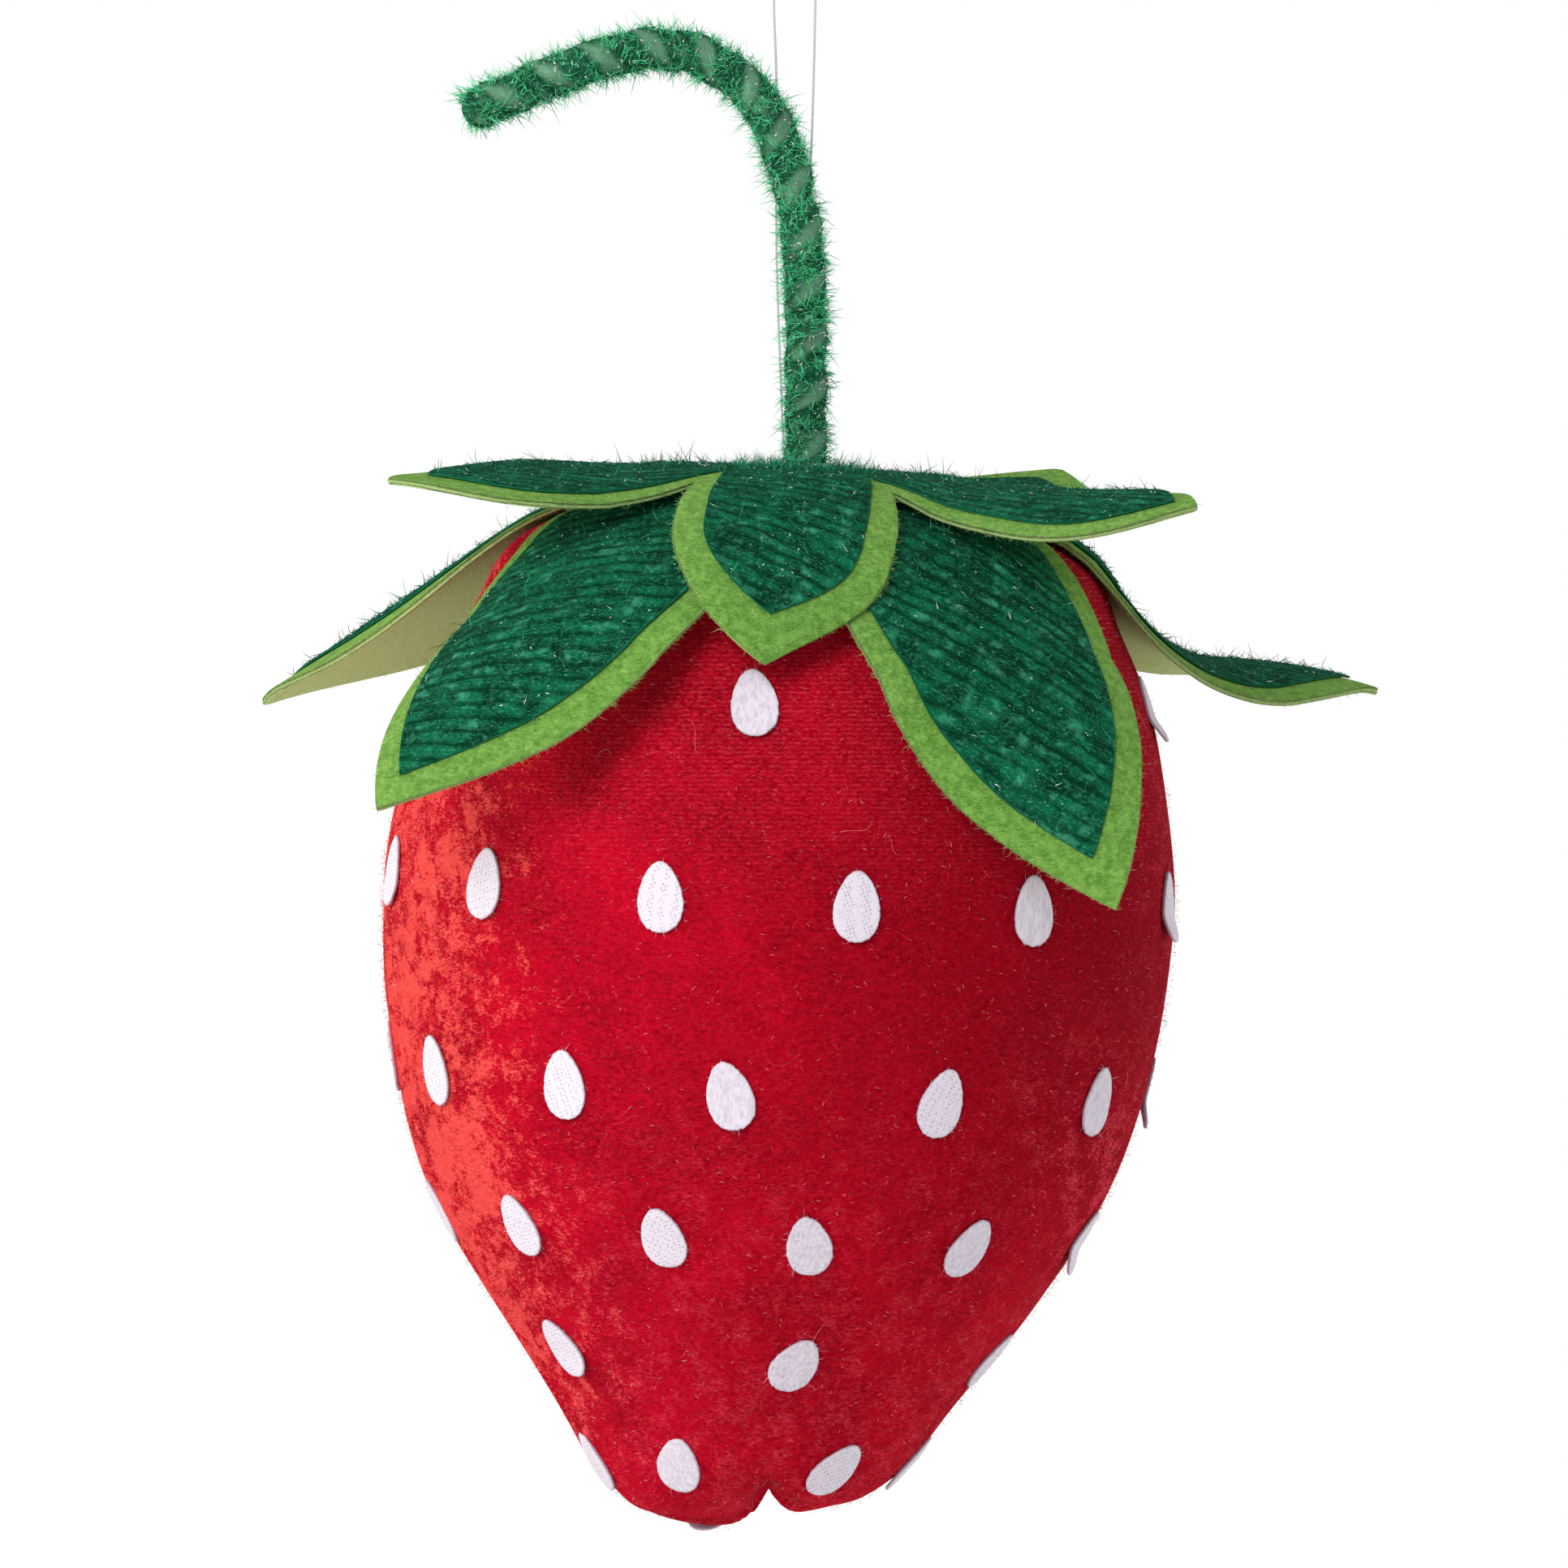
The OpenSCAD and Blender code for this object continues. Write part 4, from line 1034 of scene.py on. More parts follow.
def caught_fibres(name, count, low, high, thick, knots, curl, spread, lint):
    """Loose fibres from low to high in length that wander over the velvet."""
    rng = np.random.default_rng(count)
    run, heading = berry_spots(count, rng, top=45)
    u = np.linspace(0, 1, knots)[None]
    bearing = (math.pi * (rng.integers(0, 2, (count, 1)) + 0.5)
        + rng.normal(0, spread, (count, 1)) + rng.normal(0, curl, (count, 1)) * u
        + 0.5 * np.sin(rng.uniform(0, 6, (count, 1)) + 5 * u))
    step = rng.uniform(low, high, (count, 1)) * (high / low / 5) ** -0.2 / (knots - 1)
    go, aside = (np.cumsum(part * step, axis=1) - part[:, :1] * step
        for part in (np.cos(bearing), np.sin(bearing)))
    run = np.clip(run[:, None] + go, 30, OUTLINE_RUN[-1] - 1)
    heading = heading[:, None] + np.degrees(aside / np.maximum(radius_at(run), 6))
    height = 0.35 + 0.7 * rng.random((count, 1)) * np.sin(math.pi * u)
    out = berry_axes(run, heading)[2]
    paths = hung(berry_at(run, heading) + out * height[..., None])
    return make_strands(name, paths, rng.uniform(0.6, 1.2, count) * thick,
        rng.random(count) ** 2, lint, "berry")


class ORNAMENT_OT_velvet(bpy.types.Operator):
    """Sews the two velvet panels over the foam and brushes their pile"""

    bl_idname = "ornament.velvet"
    bl_label = "Velvet"

    def execute(self, context):
        colours = context.scene.ornament_velvet
        velvet = stretch_velvet(colours)
        nap = dyed_fibre("velvet_pile", colours.velvet_red, linear("#FF6A62"), 0.7, 0.1)
        lint = dyed_fibre("lint", linear("#DC3C50"), linear("#FFD0C8"), 0.7, 0.1)
        for name, first, node in (
            ("velvet_panel_front", SEAM_ANGLE + 180, "velvet_front"),
            ("velvet_panel_back", SEAM_ANGLE, "velvet_back"),
        ):
            panel = velvet_panel(name, first, velvet)
            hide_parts(node)
            pile = brushed_pile(node + "_pile", first, colours.nap_count, nap)
        for name, count, low, high, thick, knots, curl, spread in (
            ("stray_fibres", colours.stray_count, 2, 9, 0.03, 12, 1.1, 3.0),
            ("lint_flecks", colours.lint_count, 0.25, 1.1, 0.036, 3, 0.4, 0.7),
        ):
            fibres = caught_fibres(name, count, low, high, thick, knots, curl, spread, lint)
        # The foam stands back a little from the panels
        run, heading = np.meshgrid(OUTLINE_RUN[:-1], np.arange(0, 360, 5.0), indexing="ij")
        run = np.maximum(run, CROWN_GAP)
        core = berry_at(run, heading) - berry_axes(run, heading)[2] * (VELVET_T + FOAM_GAP)
        rows, cols = run.shape
        points = np.vstack([core.reshape(-1, 3), core[0].mean(0), core[-1].mean(0)])
        faces = [grid_faces(rows, cols, loop=True)[:, ::-1], fan(0, cols, rows * cols),
            fan((rows - 1) * cols, cols, rows * cols + 1, flip=True)]
        foam = make_piece("foam_filling", hung(points), faces,
            plain_core("cut_foam", "#EFE6CF", Roughness=1.0), "berry")
        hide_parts("foam_core")
        return {"FINISHED"}


def egg_outline(rng, size):
    """A patch's cut, broad end down, where the scissors and the fraying left it uneven."""
    turn = np.linspace(0, 2 * math.pi, PATCH_SIDES, endpoint=False)
    ragged = 1 + 0.012 * np.cumsum(rng.normal(0, 0.5, PATCH_SIDES)) / 2
    ragged = 1 + (ragged - ragged.mean()) * np.sin(turn / 2) ** 2
    ragged += rng.normal(0, 0.009, PATCH_SIDES)
    egg = np.stack([SEED_WIDTH * size / 2 * np.cos(turn) * (1 - 0.22 * np.sin(turn)),
        SEED_LENGTH * size / 2 * np.sin(turn)], axis=-1)
    return egg * ragged[:, None]


def seed_patch(rng, run, heading, lean, size, lift, fuzz):
    """Points of one patch glued on the velvet, and paths of the fibres that fray from it."""
    spot = np.array([run]), np.array([heading])
    middle, out = berry_at(*spot)[0], berry_axes(*spot)[2][0]
    right = unit(np.cross([0, 0, 1], out))
    up = np.cross(out, right)
    right, up = (math.cos(lean) * right - math.sin(lean) * up,
        math.cos(lean) * up + math.sin(lean) * right)
    egg = egg_outline(rng, size)
    # How far the velvet falls away under the patch
    reach = 4.0
    ring = math.degrees(reach / max(radius_at(run), 6))
    fall_x, fall_y = (0.8 * ((middle - berry_at(*ends).mean(0)) @ out) / reach**2 for ends in (
        (np.array([run, run]), np.array([heading - ring, heading + ring])),
        (np.array([run - reach, run + reach]), np.array([heading, heading]))))
    loose = rng.uniform(0, 0.5) + lift

    def rings(shares, heights):
        """Rings of the patch at shares of its size and heights off the velvet."""
        q = np.array(shares)[:, None, None] * egg
        x, y = q[..., 0], q[..., 1]
        raised = loose * smooth(-y / SEED_LENGTH * 2 - 0.1)
        h = np.array(heights)[:, None] - fall_x * x**2 - fall_y * y**2 + raised
        return (middle + x[..., None] * right + y[..., None] * up
            + (h + SEED_GAP)[..., None] * out)

    crown = PATCH_T * (1 - 0.1 * smooth((PATCH_RINGS - 0.9) / 0.1))
    points = np.vstack([
        rings(PATCH_RINGS[1:], crown[1:]).reshape(-1, 3),
        rings([1.008, 0.99], [PATCH_T / 2, 0]).reshape(-1, 3),
        *(rings([0], [height])[0, :1] for height in (PATCH_T, 0))])
    # Frayed fibres round the cut
    at = rng.random(FRAYS) * PATCH_SIDES
    low = np.floor(at).astype(int)
    rim = rings([1], [PATCH_T * 0.6])[0]
    root = rim[low] + (at - low)[:, None] * (rim[(low + 1) % PATCH_SIDES] - rim[low])
    outward = unit(root - middle - ((root - middle) @ out)[:, None] * out)
    way = unit(outward + rng.normal(0, 0.55, (FRAYS, 3)))
    length = np.minimum(rng.exponential(0.7, FRAYS) * fuzz + 0.1, 2.2)
    return points, bent(root - 0.2 * outward, way, length, rng.normal(0, 0.3, (FRAYS, 3)), 3)


class ORNAMENT_OT_seeds(bpy.types.Operator):
    """Glues on the rows of seed patches"""

    bl_idname = "ornament.seeds"
    bl_label = "Seeds"

    def execute(self, context):
        colours = context.scene.ornament_seeds
        knit = patch_cloth("tricot_knit", colours, True)
        pile = patch_cloth("brushed_tricot", colours, False)
        fray = dyed_fibre("tricot_fray", linear("#C9AEC0"), linear("#FFF8FC"), 0.7, 0.1)
        rng = np.random.default_rng(7)
        sides, rows = PATCH_SIDES, len(PATCH_RINGS) + 1
        for number, (depth, size, headings, leans, cuts) in enumerate(SEED_ROWS):
            node = "tip_seeds" if number == len(SEED_ROWS) - 1 else f"seed_row_{number + 1}"
            run = np.interp(depth * BERRY_HEIGHT, VELVET_Z - OUTLINE[:, 1], OUTLINE_RUN)
            points, quads, fans, paths = [], [], [], []
            for k, front in enumerate(headings):
                spots, frays = seed_patch(rng, run, front - 90.0,
                    math.radians(leans[k % len(leans)]), size,
                    LOOSE_LIFT if front in LOOSE_PATCHES else 0, colours.fuzz_length / MM)
                start = k * len(spots)
                peak = start + rows * sides
                points.append(spots)
                quads.append(grid_faces(rows, sides, start, loop=True)[:, ::-1])
                fans += [fan(start, sides, peak), fan(peak - sides, sides, peak + 1, flip=True)]
                paths.append(frays)
            cut = np.repeat([0, 0, 0, 0, 0, 0.45, 1, 1, 0, 1], [sides] * rows + [1, 1])
            row = make_piece(f"{node}_patches", hung(np.vstack(points)), quads + fans, knit,
                "berry", cut=np.tile(cut, len(headings)))
            row.data.materials.append(pile)
            # Quads of all the patches come first, then both fans of each
            piled = np.concatenate([np.repeat([c == "p" for c in cuts], each)
                for each in ((rows - 1) * sides, 2 * sides)])
            row.data.polygons.foreach_set("material_index", piled.astype(np.int32))
            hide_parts(node)
            paths = np.vstack(paths)
            n = len(paths)
            fringe = make_strands(f"{node}_fray", hung(paths), rng.uniform(0.015, 0.035, n),
                rng.random(n), fray, "berry")
        return {"FINISHED"}


def star_grid(cut, hub_rows=10, half_cols=20, leaf_rows=70):
    """Leaf numbers, s and t of a star's points, its faces, and the loops of its brinks."""
    cols = 2 * half_cols
    x = np.linspace(-1, 1, cols + 1)
    f = np.sign(x) * (1 - (1 - np.abs(x)) ** 1.45)
    ring = 5 * cols
    root = leaf_root(cut)
    leaf = np.repeat(np.arange(5), cols)
    angle = HALF_LEAF * np.tile(f[:-1], 5)
    hole = HUB_HOLE_R * np.stack([np.cos(angle), np.sin(angle)], axis=-1)
    chord = np.stack([np.full(ring, root),
        np.tile(f[:-1], 5) * cut.notch * math.sin(HALF_LEAF)], axis=-1)
    share = (np.arange(hub_rows + 1) / hub_rows)[:, None, None]
    hub = hole + (chord - hole) * share
    i, s, t = [np.tile(leaf, hub_rows + 1)], [hub[..., 0].ravel()], [hub[..., 1].ravel()]
    down = np.arange(1, leaf_rows) / leaf_rows
    down = 1 - (1 - down) ** 1.12
    for k in range(5):
        rows = root + (cut.reach - root) * down
        i.append(np.full(len(rows) * (cols + 1) + 1, k))
        s.append(np.append(np.repeat(rows, cols + 1), cut.reach))
        t.append(np.append((f * half_width(cut, rows)[:, None]).ravel(), 0))
    base, size = (hub_rows + 1) * ring, (leaf_rows - 1) * (cols + 1) + 1
    faces = [grid_faces(hub_rows + 1, ring, loop=True)]
    tips, rims = [], []
    for k in range(5):
        first = base + k * size
        root_row = hub_rows * ring + (k * cols + np.arange(cols + 1)) % ring
        j = np.arange(cols)
        faces.append(np.stack([root_row[j], root_row[j + 1], first + j + 1, first + j], axis=-1))
        faces.append(grid_faces(leaf_rows - 1, cols + 1, first))
        foot = first + (leaf_rows - 2) * (cols + 1)
        tips.append(np.stack([foot + j, foot + j + 1, np.full(cols, first + size - 1)], axis=-1))
        edge = first + np.arange(leaf_rows - 1) * (cols + 1)
        rims.append(np.concatenate([root_row[:1], edge, [first + size - 1],
            (edge + cols)[::-1]]))
    outer = np.concatenate(rims)
    return (np.concatenate(i), np.concatenate(s), np.concatenate(t), np.vstack(faces),
        np.vstack(tips), outer, np.arange(ring))


def star_cloth(name, star, trim, low, high, gaps, material, body, close_hub=False):
    """One layer of a star as a closed sheet with a rounded cut edge."""
    cut = cut_star(star, trim)
    i, s, t, quads, tips, outer, inner = star_grid(cut)
    tip = s >= cut.reach - 1e-6
    if trim[0]:
        s, t = plush_fit(star, i, s, t)
    p, along, across, out = star_axes(star, i, s, t)
    gap = (gaps * slack(np.hypot(s, t)))[:, None]
    wobble = np.array([noise.noise(Vector(q) * 0.09) for q in p])
    brink = np.zeros(len(s), bool)
    brink[outer] = True
    p = p + across * (brink * wobble * CUT_WANDER)[:, None]
    top, foot = p + (high + gap) * out, p + (low + gap) * out
    # The upper plush closes up round the sleeve
    if close_hub:
        near = (1 - smooth((np.hypot(s, t) - HUB_HOLE_R) / 12))[:, None]
        for face in (top, foot):
            snug = STEM_SEAT[:2] + face[:, :2] * (SLEEVE_R + 0.4) / HUB_HOLE_R
            face[:, :2] += (snug - face[:, :2]) * near
    # The cut edge is rounded
    soft = EDGE_ROUND * (high - low)
    top[outer] -= out[outer] * soft
    foot[outer] += out[outer] * soft
    size = len(s)
    aside = np.where(t[outer] > 0, 1.0, -1.0)[:, None] * across[outer]
    aside[tip[outer]] = along[outer][tip[outer]]
    middle = (top[outer] + foot[outer]) / 2 + aside * EDGE_SWELL
    m, n = 2 * size + np.arange(len(outer)), len(outer)
    ahead = np.roll(np.arange(n), -1)
    apart = outer != outer[ahead]
    walls = [
        np.stack([outer, m, m[ahead], outer[ahead]], axis=-1)[apart],
        np.stack([m, outer + size, outer[ahead] + size, m[ahead]], axis=-1)[apart],
        np.stack([inner, np.roll(inner, -1), np.roll(inner, -1) + size, inner + size], axis=-1),
    ]
    points = np.vstack([top, foot, middle])
    side = np.concatenate([np.zeros(size), np.ones(size), np.full(n, 0.4)])
    rim = brink.astype(float)
    cuts = np.concatenate([rim, rim * 0.7, np.ones(n)])
    angle = row_angle(star, i)
    rows = np.stack([-s * np.sin(angle) + t * np.cos(angle),
        s * np.cos(angle) + t * np.sin(angle), 0 * s], axis=-1)
    rows = np.vstack([rows, rows, rows[outer]])
    faces = [quads, tips, quads[:, ::-1] + size, tips[:, ::-1] + size, *walls]
    return make_piece(name, hung(points), faces, material, body, side=side, cut=cuts, rows=rows)


def cloth_area(cut):
    """The cut's width, length and area when flat, in metres."""
    s = np.linspace(leaf_root(cut), cut.reach, 2000)
    leaf = 2 * np.sum((half_width(cut, s)[1:] + half_width(cut, s)[:-1]) / 2) * (s[1] - s[0])
    hub = leaf_root(cut) ** 2 * math.tan(HALF_LEAF)
    wide = 2 * cut.reach * math.sin(2 * HALF_LEAF)
    tall = cut.reach * (1 + math.cos(HALF_LEAF))
    area = 5 * (leaf + hub) - math.pi * HUB_HOLE_R**2
    return (wide * MM, tall * MM), area * MM * MM


def rooted(star, i, s, t, rng, stray, low, high):
    """Roots on the plush, and the ways its fibres lean from the knit rows and off the cloth."""
    p, along, across, out = star_axes(star, i, *plush_fit(star, i, s, t))
    n = len(s)
    root = p + (PLUSH_PAD[1] * slack(np.hypot(s, t)) + 0.4)[:, None] * out
    turn = row_angle(star, i) + rng.normal(0, stray, n) + math.pi * rng.integers(0, 2, n)
    lean = rng.uniform(low, high, n)[:, None]
    way = unit(np.cos(turn)[:, None] * along + np.sin(turn)[:, None] * across + lean * out)
    return root, way


def laid_pile(name, star, cut, count, longest, rng, pile):
    """Pile laid along the knit rows, and parted in patches, where the knit shows."""
    i, s, t = star_spots(cut, count, rng)
    angle = row_angle(star, i)
    row = -s * np.sin(angle) + t * np.cos(angle)
    sewn = rng.random(count) < 0.7
    pitch = np.where(sewn, PILE_PITCH, KNIT_PITCH)
    shift = ((np.round(row / pitch - 0.5) + 0.5) * pitch
        + rng.normal(0, np.where(sewn, 0.5, 0.13)) - row)
    s, t = s - shift * np.sin(angle), t + shift * np.cos(angle)
    root, way = rooted(star, i, s, t, rng, 0.4 * np.array(star.stray)[i], 0.08, 0.4)
    patch = np.array([noise.noise(Vector(p) * 0.27) for p in root])
    kept = rng.random(count) < 0.95 - 0.75 * smooth(patch * 3 - 0.15)
    root, way, patch = root[kept], way[kept], patch[kept]
    n = len(root)
    length = rng.uniform(0.3, 0.9, n) * longest
    tone = np.where(rng.random(n) < 0.07, rng.uniform(0.5, 1, n),
        rng.random(n) ** 1.8 * (0.25 + 0.35 * np.clip(patch, 0, 1)))
    return lay_fibres(name, rng, root, way, length, 0.25, 2, (0.035, 0.075), pile, tone)


def curled_wisps(name, star, cut, n, rng, pile):
    """Wisps that stand up and curl."""
    root, way = rooted(star, *star_spots(cut, n, rng), rng, 1.2, 0.3, 1.1)
    tone = np.where(rng.random(n) < 0.2, rng.uniform(0.4, 1, n), 0.3 * rng.random(n))
    length = np.minimum(rng.gamma(4, 0.27, n), 1.7)
    return lay_fibres(name, rng, root, way, length, 0.75, 4, (0.055, 0.085), pile, tone)


def tinsel_glints(name, star, cut, n, rng, film):
    """Ribbons of film, some of them broad and some long."""
    root, way = rooted(star, *star_spots(cut, n, rng), rng, 0.6, 0.3, 0.7)
    broad = rng.random(n) < 0.4
    length = np.where(rng.random(n) < 0.2, 1.4, 0.45) * rng.uniform(0.7, 1.2, n)
    paths = bent(hung(root), turned(way), length, rng.normal(0, 0.1, (n, 3)), 2)
    radii = np.where(broad, rng.uniform(0.12, 0.19, n), 0.07)
    return make_strands(name, paths, radii, rng.random(n), film, "berry")


def cut_fuzz(name, star, n, rng, fuzz):
    """Fibres pulled out of the felt's cut edge."""
    i = rng.integers(0, 5, n)
    s = rng.uniform(leaf_root(star), star.reach, n)
    side = rng.choice([-1, 1], n)
    p, _, across, out = star_axes(star, i, s, side * half_width(star, s))
    root = p - out * rng.uniform(0.1, FELT_T, n)[:, None]
    way = unit(side[:, None] * across + rng.normal(0, 0.6, (n, 3)))
    length = np.minimum(rng.exponential(0.35, n) + 0.15, 2.0)
    return lay_fibres(name, rng, root, way, length, 0.3, 3, (0.02, 0.045), fuzz)


def hub_pile(name, n, pile):
    """Pile that closes the hub round the stem's foot."""
    rng = np.random.default_rng(5)
    turn, r = rng.uniform(0, 2 * math.pi, n), SLEEVE_R + 0.3 + 8 * rng.random(n)
    spoke = np.stack([np.cos(turn), np.sin(turn), 0 * turn], axis=-1)
    root = np.append(STEM_SEAT[:2], 0) + spoke * r[:, None] + [0, 0, -0.25]
    way = unit(spoke * rng.normal(0.5, 0.8, (n, 1)) + rng.normal(0, 0.6, (n, 3)) + [0, 0, 0.55])
    return lay_fibres(name, rng, root, way, rng.uniform(1, 2.6, n), 0.4, 4, (0.04, 0.08), pile,
        skew=1.5, palest=0.9)


class ORNAMENT_OT_calyx(bpy.types.Operator):
    """Cuts the two stars of felt and tinsel plush and lays them on the crown"""

    bl_idname = "ornament.calyx"
    bl_label = "Calyx"

    def execute(self, context):
        colours = context.scene.ornament_calyx
        felt = craft_felt(colours)
        ground = plush_ground("tinsel_plush_ground", colours.plush_dark, colours.plush_mid,
            colours.plush_knit, colours.plush_rim)
        pile = dyed_fibre("tinsel_plush_pile", colours.pile_dark, colours.pile_pale, 0.45, 0.03)
        fuzz = dyed_fibre("felt_fuzz", colours.felt_green, colours.felt_pale, 0.8, 0.3)
        film = tinsel_film()
        lower_area, upper_area = (cloth_area(cut_star(star, PLUSH_TRIM))[1]
            for star in (LOWER_STAR, UPPER_STAR))
        for level, star, rests, share, frays in (
            ("lower", LOWER_STAR, ["velvet_panel_front", "velvet_panel_back"], 1.0, 5200),
            ("upper", UPPER_STAR, ["lower_plush_star"], upper_area / lower_area, 3380),
        ):
            upper = level == "upper"
            rng = np.random.default_rng(21 + upper)
            cut = cut_star(star, PLUSH_TRIM)
            felt_star = star_cloth(f"{level}_felt_star", star, (0, 0, 0), -FELT_T, 0, 0, felt,
                "berry")
            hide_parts(f"{level}_calyx_felt")
            plush = star_cloth(f"{level}_plush_star", star, PLUSH_TRIM, 0, *PLUSH_PAD, ground,
                "berry", close_hub=upper)
            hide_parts(f"{level}_calyx_plush")
            nap = laid_pile(f"{level}_plush_pile", star, cut, int(colours.pile_count * share),
                colours.pile_length / MM, rng, pile)
            wisps = curled_wisps(f"{level}_plush_wisps", star, cut, int(WISPS * share), rng, pile)
            glint = tinsel_glints(f"{level}_tinsel", star, cut, int(GLINTS * share), rng, film)
            fringe = cut_fuzz(f"{level}_felt_fuzz", star, frays, rng, fuzz)
        collar = hub_pile("hub_collar", COLLAR_FIBRES, pile)
        dress("glue_seat", plain_core("hot_melt_glue", "#E9E2C8", Roughness=0.35,
            Subsurface_Weight=0.2))
        return {"FINISHED"}


def stem_path():
    """Lengths along the stem, and the points of its middle line."""
    line = open_spline(np.array(STEM_ROUTE) * [HOOK_REACH, STEM_HEIGHT], 20)
    line = np.vstack([[(0, SLEEVE_FOOT)], line[line[:, 1] > SLEEVE_FOOT + SLEEVE_STEP]])
    fine = run_along(line)
    run = np.arange(0, fine[-1], SLEEVE_STEP)
    return run, np.stack([np.interp(run, fine, line[:, k]) for k in range(2)], axis=-1)


STEM_RUN, STEM_PATH = stem_path()


def sleeve_at(at, angle, extra=0.0):
    """Points of the sleeve at lengths and angles, its directions out and along, and how far the
    pile has parted."""
    x, z = (np.interp(at, STEM_RUN, STEM_PATH[:, k]) for k in range(2))
    ahead, behind = (np.stack([np.interp(at + e, STEM_RUN, STEM_PATH[:, k]) for k in range(2)],
        axis=-1) for e in (SLEEVE_STEP, -SLEEVE_STEP))
    way = unit(ahead - behind)
    phase = at / RIB_PITCH + angle / 360
    ridge = np.cos(2 * math.pi * phase)
    # The pile parts along the middle of the wound strip, and shows its knit
    spot = np.abs((phase + 0.5) % 1 - 0.5)
    parted = smooth((0.24 - spot) / 0.13) * smooth(
        0.6 + 0.6 * np.sin(np.radians(3 * angle) + at * 0.7))
    r = (SLEEVE_R - 0.35 + 0.22 * ridge - 0.2 * parted - hump(at, *SLEEVE_PINCH)
        + 0.12 * np.sin(at * 0.9 + angle * 0.05)) + extra
    a = np.radians(angle)
    out = np.stack([-way[..., 1] * np.cos(a), np.sin(a), way[..., 0] * np.cos(a)], axis=-1)
    along = np.stack([way[..., 0], 0 * x, way[..., 1]], axis=-1)
    return np.stack([x, 0 * x, z], axis=-1) + r[..., None] * out, out, along, parted


def sleeve_strip(name, ground):
    """The wound strip of plush as one closed sleeve with a rounded end."""
    sides, end = SLEEVE_SIDES, STEM_RUN[-1]
    turn = np.linspace(0, 360, sides, endpoint=False)
    at, angle = np.meshgrid(STEM_RUN, turn, indexing="ij")
    points, _, _, parted = sleeve_at(at, angle)
    # Angles of the rings that round off its end
    caps = np.radians([20, 40, 58, 74])
    foot, before, tip = (np.array([x, 0, z]) for x, z in STEM_PATH[[0, -2, -1]])
    ahead, outward = unit(tip - before), sleeve_at(np.full(sides, end), turn)[1]
    points = np.vstack([points.reshape(-1, 3), *(
        tip + (SLEEVE_R - 0.3) * (math.cos(a) * outward + math.sin(a) * ahead)
        for a in caps), tip + (SLEEVE_R - 0.3) * ahead, foot])
    rings = len(STEM_RUN) + len(caps)
    last = rings * sides
    faces = [grid_faces(rings, sides, loop=True), fan(last - sides, sides, last),
        fan(0, sides, last + 1, flip=True)]
    bald = np.append(parted, np.zeros(len(caps) * sides + 2))
    at = np.concatenate([at.ravel(), np.repeat(end + np.arange(1, len(caps) + 1), sides),
        [end + len(caps) + 1, 0]])
    angle = np.concatenate([angle.ravel(), np.tile(turn, len(caps)), [0, 0]])
    rows = np.stack([at + angle / 360 * 8, angle / 16, 0 * bald], axis=-1)
    return make_piece(name, points + STEM_PIVOT, faces, ground, "stem", cut=bald * 0.4, rows=rows)


def combed_pile(name, count, each, low, high, thick, lift, knots, top, longest, rng, pile):
    """Pile on the sleeve in tufts of each fibres, from low to high in share of the longest,
    combed this way and that and lifted off the sleeve. top makes it pale."""
    end = STEM_RUN[-1]
    n = int(count * 2.2)
    tufts = n // each
    tuft = np.arange(n) % tufts
    at = rng.uniform(0, end + 2.8, tufts)[tuft] + rng.normal(0, 0.3, n)
    angle = rng.uniform(0, 360, tufts)[tuft] + rng.normal(0, 5, n)
    comb = rng.normal(0, 0.8, (tufts, 2))[tuft] + rng.normal(0, 0.4, (n, 2))
    at = np.clip(at, 0, end + 2.9)
    # The sleeve's end is round
    over = np.maximum(at - end, 0)
    root, out, way, parted = sleeve_at(np.minimum(at, end - 0.4), angle, -0.1)
    keep = rng.random(n) > parted * 0.95
    root = root + way * (over + 0.4 * (over > 0))[:, None]
    shrink = np.sqrt(np.clip(1 - (over / 3.4) ** 2, 0, 1))
    middle = root - out * (SLEEVE_R - 0.5)
    root = middle + out * (SLEEVE_R - 0.5) * shrink[:, None]
    out = unit(out + way * (over / 2)[:, None])
    root, out, way, comb, tuft = (a[keep][:count] for a in (root, out, way, comb, tuft))
    n = len(root)
    around = np.cross(way, out)
    aim = unit(comb[:, :1] * way + comb[:, 1:] * around + rng.uniform(*lift, (n, 1)) * out)
    length = rng.uniform(low, high, n) * longest
    tone = np.clip(rng.random(n) ** 1.3 * 0.7 * top + 0.3 * (tuft % 3 == 0) * top, 0, 1)
    curl = rng.normal(0, 0.4, (n, 3)) + rng.normal(0, 0.4, (tufts, 3))[tuft]
    # Painted light: the fibres are paler towards their tips, standing in for light shining through
    # them
    return make_strands(name, bent(root, aim, length, curl, knots) + STEM_PIVOT,
        rng.uniform(0.7, 1.2, n) * thick, tone, pile, "stem", tip=0.35 * top)


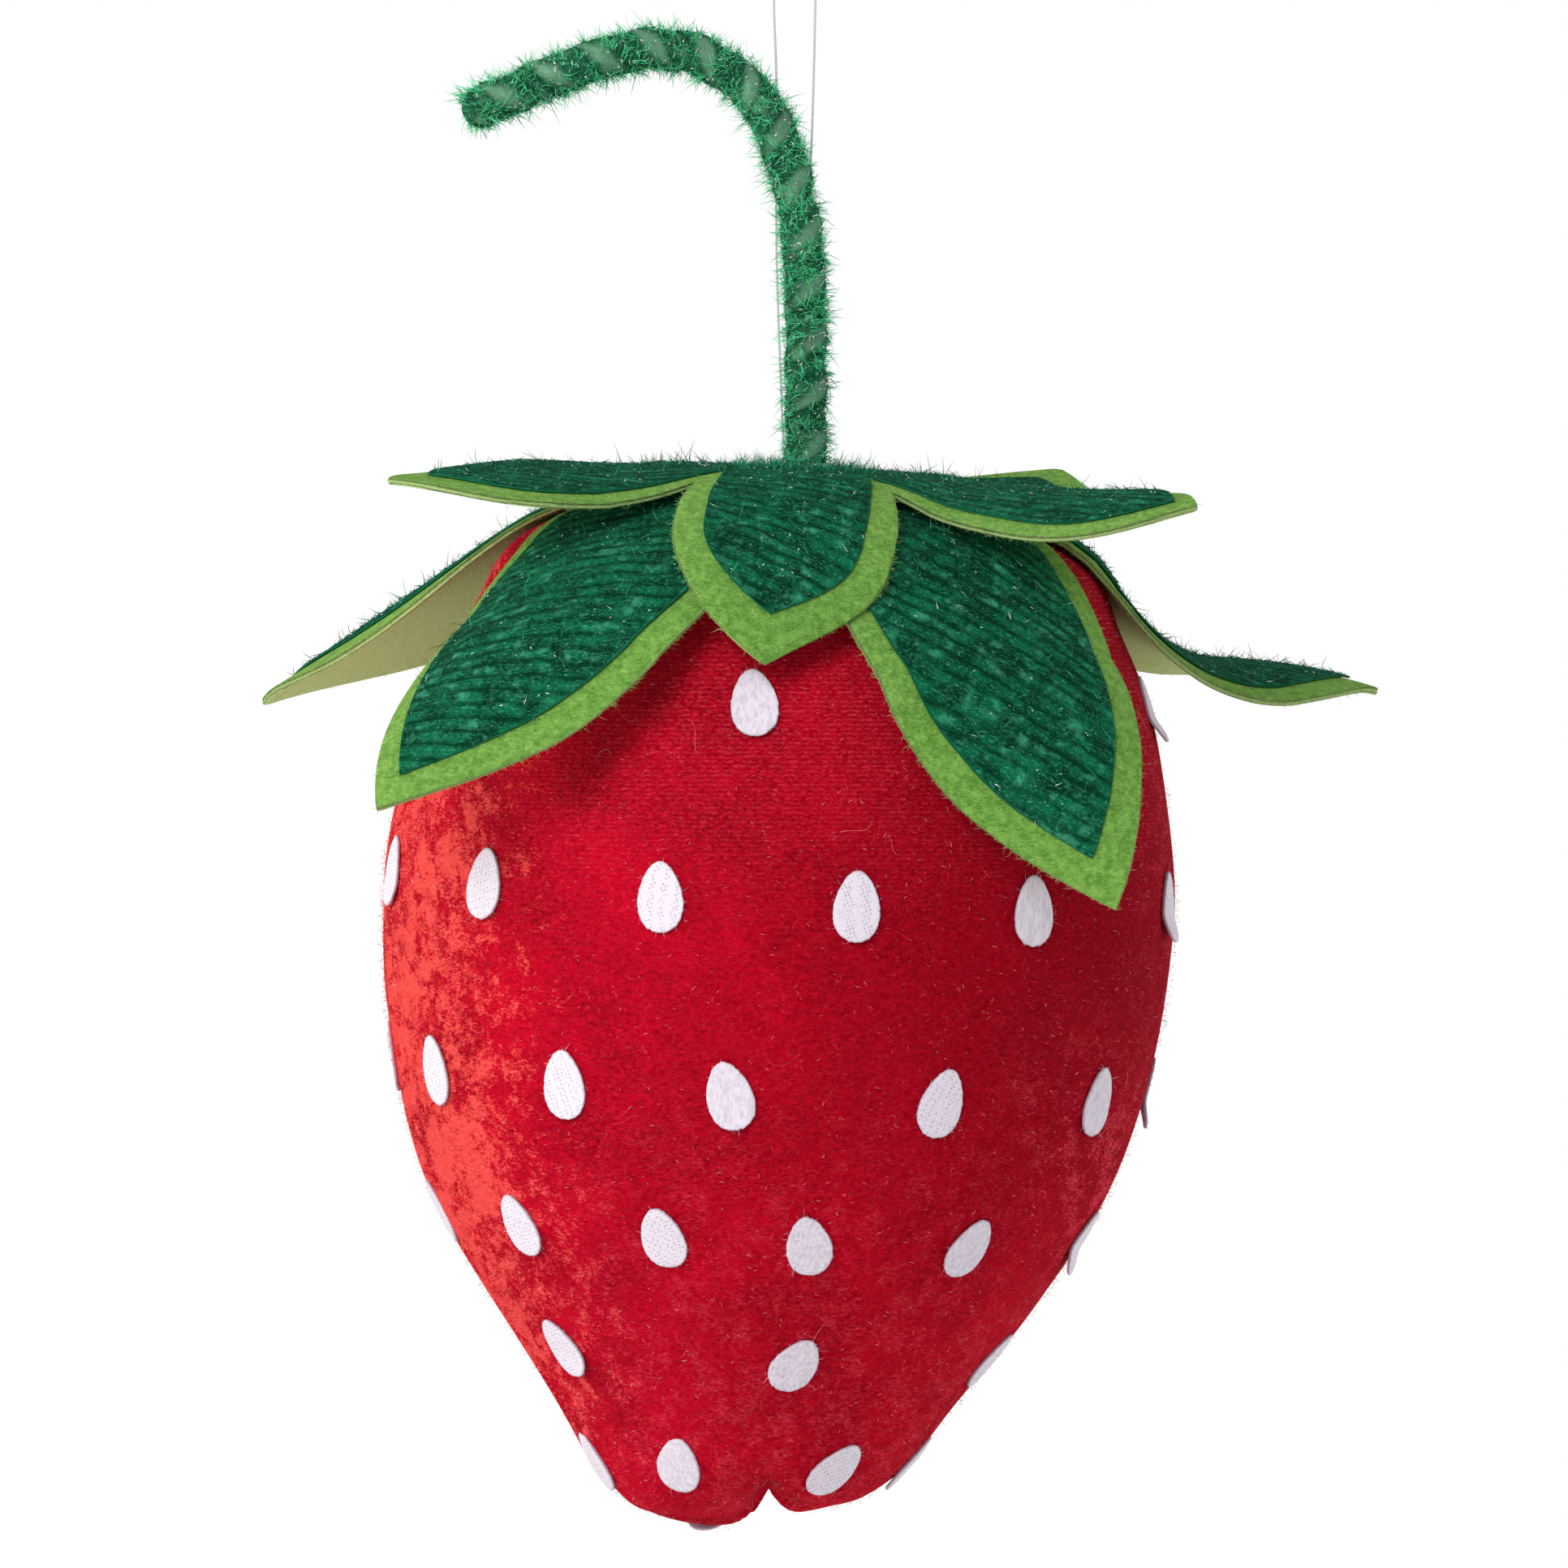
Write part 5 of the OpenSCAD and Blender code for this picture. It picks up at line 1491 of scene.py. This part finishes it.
class ORNAMENT_OT_stem(bpy.types.Operator):
    """Winds the plush sleeve round the hooked wire"""

    bl_idname = "ornament.stem"
    bl_label = "Stem"

    def execute(self, context):
        colours = context.scene.ornament_stem
        ground = plush_ground("stem_plush_ground", colours.stem_dark, colours.stem_mid,
            colours.stem_knit, colours.stem_knit, 0.6, 0.6, 0.85)
        strip = sleeve_strip("stem_plush_strip", ground)
        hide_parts("stem_sleeve")
        pile = dyed_fibre("stem_plush_pile", colours.stem_pile, colours.stem_glow, 0.4, 0.05)
        rng = np.random.default_rng(11)
        for name, count, each, low, high, thick, lift, knots, top in (
            ("stem_pile", 9000, 1, 0.25, 0.55, 0.06, (0.1, 0.7), 2, 0.4),
            ("stem_wisps", 6500, 6, 0.45, 1.05, 0.08, (0.3, 1.6), 5, 1.0),
        ):
            hair = combed_pile(name, count, each, low, high, thick, lift, knots, top,
                colours.pile_length / MM, rng, pile)
        n = STEM_GLINTS
        at, angle = rng.uniform(0, STEM_RUN[-1], n), rng.uniform(0, 360, n)
        root, out, _, _ = sleeve_at(at, angle)
        aim = unit(rng.normal(0, 1, (n, 3)) + 0.6 * out)
        paths = bent(root, aim, rng.uniform(0.4, 1.0, n), 0 * aim, 2) + STEM_PIVOT
        glint = make_strands("stem_tinsel", paths, rng.uniform(0.1, 0.22, n), rng.random(n),
            tinsel_film(), "stem")
        wire = plain_core("galvanised_wire", "#9AA0A4", Metallic=0.9, Roughness=0.35)
        dress("stem_wire", wire)
        dress("wire_root", wire)
        return {"FINISHED"}


class ORNAMENT_PT_panel(bpy.types.Panel):
    """Lists the ornament's pieces and their settings"""

    bl_idname = "ORNAMENT_PT_panel"
    bl_label = "Velvet Strawberry"
    bl_space_type = "VIEW_3D"
    bl_region_type = "UI"
    bl_category = "Strawberry"

    def draw(self, context):
        for operator, group in (
            ("ornament.studio", "ornament_stage"), ("ornament.thread_loop", None),
            ("ornament.velvet", "ornament_velvet"), ("ornament.seeds", "ornament_seeds"),
            ("ornament.calyx", "ornament_calyx"), ("ornament.stem", "ornament_stem"),
        ):
            box = self.layout.box()
            box.operator(operator)
            if group:
                settings = getattr(context.scene, group)
                for name in settings.__annotations__:
                    box.prop(settings, name)


SETTINGS = {
    "ornament_velvet": VelvetSettings, "ornament_seeds": SeedSettings,
    "ornament_calyx": CalyxSettings, "ornament_stem": StemSettings,
    "ornament_stage": StageSettings,
}
OPERATORS = (
    ORNAMENT_OT_studio, ORNAMENT_OT_thread_loop, ORNAMENT_OT_velvet, ORNAMENT_OT_seeds,
    ORNAMENT_OT_calyx, ORNAMENT_OT_stem,
)
CLASSES = (*SETTINGS.values(), *OPERATORS, ORNAMENT_PT_panel)


def register():
    for each in CLASSES:
        bpy.utils.register_class(each)
    for name, group in SETTINGS.items():
        setattr(bpy.types.Scene, name, bpy.props.PointerProperty(type=group))


def unregister():
    for name in SETTINGS:
        delattr(bpy.types.Scene, name)
    for each in reversed(CLASSES):
        bpy.utils.unregister_class(each)


def main():
    register()
    bpy.ops.ornament.studio()
    bpy.ops.ornament.thread_loop()
    bpy.ops.ornament.velvet()
    bpy.ops.ornament.seeds()
    bpy.ops.ornament.calyx()
    bpy.ops.ornament.stem()


if __name__ == "__main__":
    main()
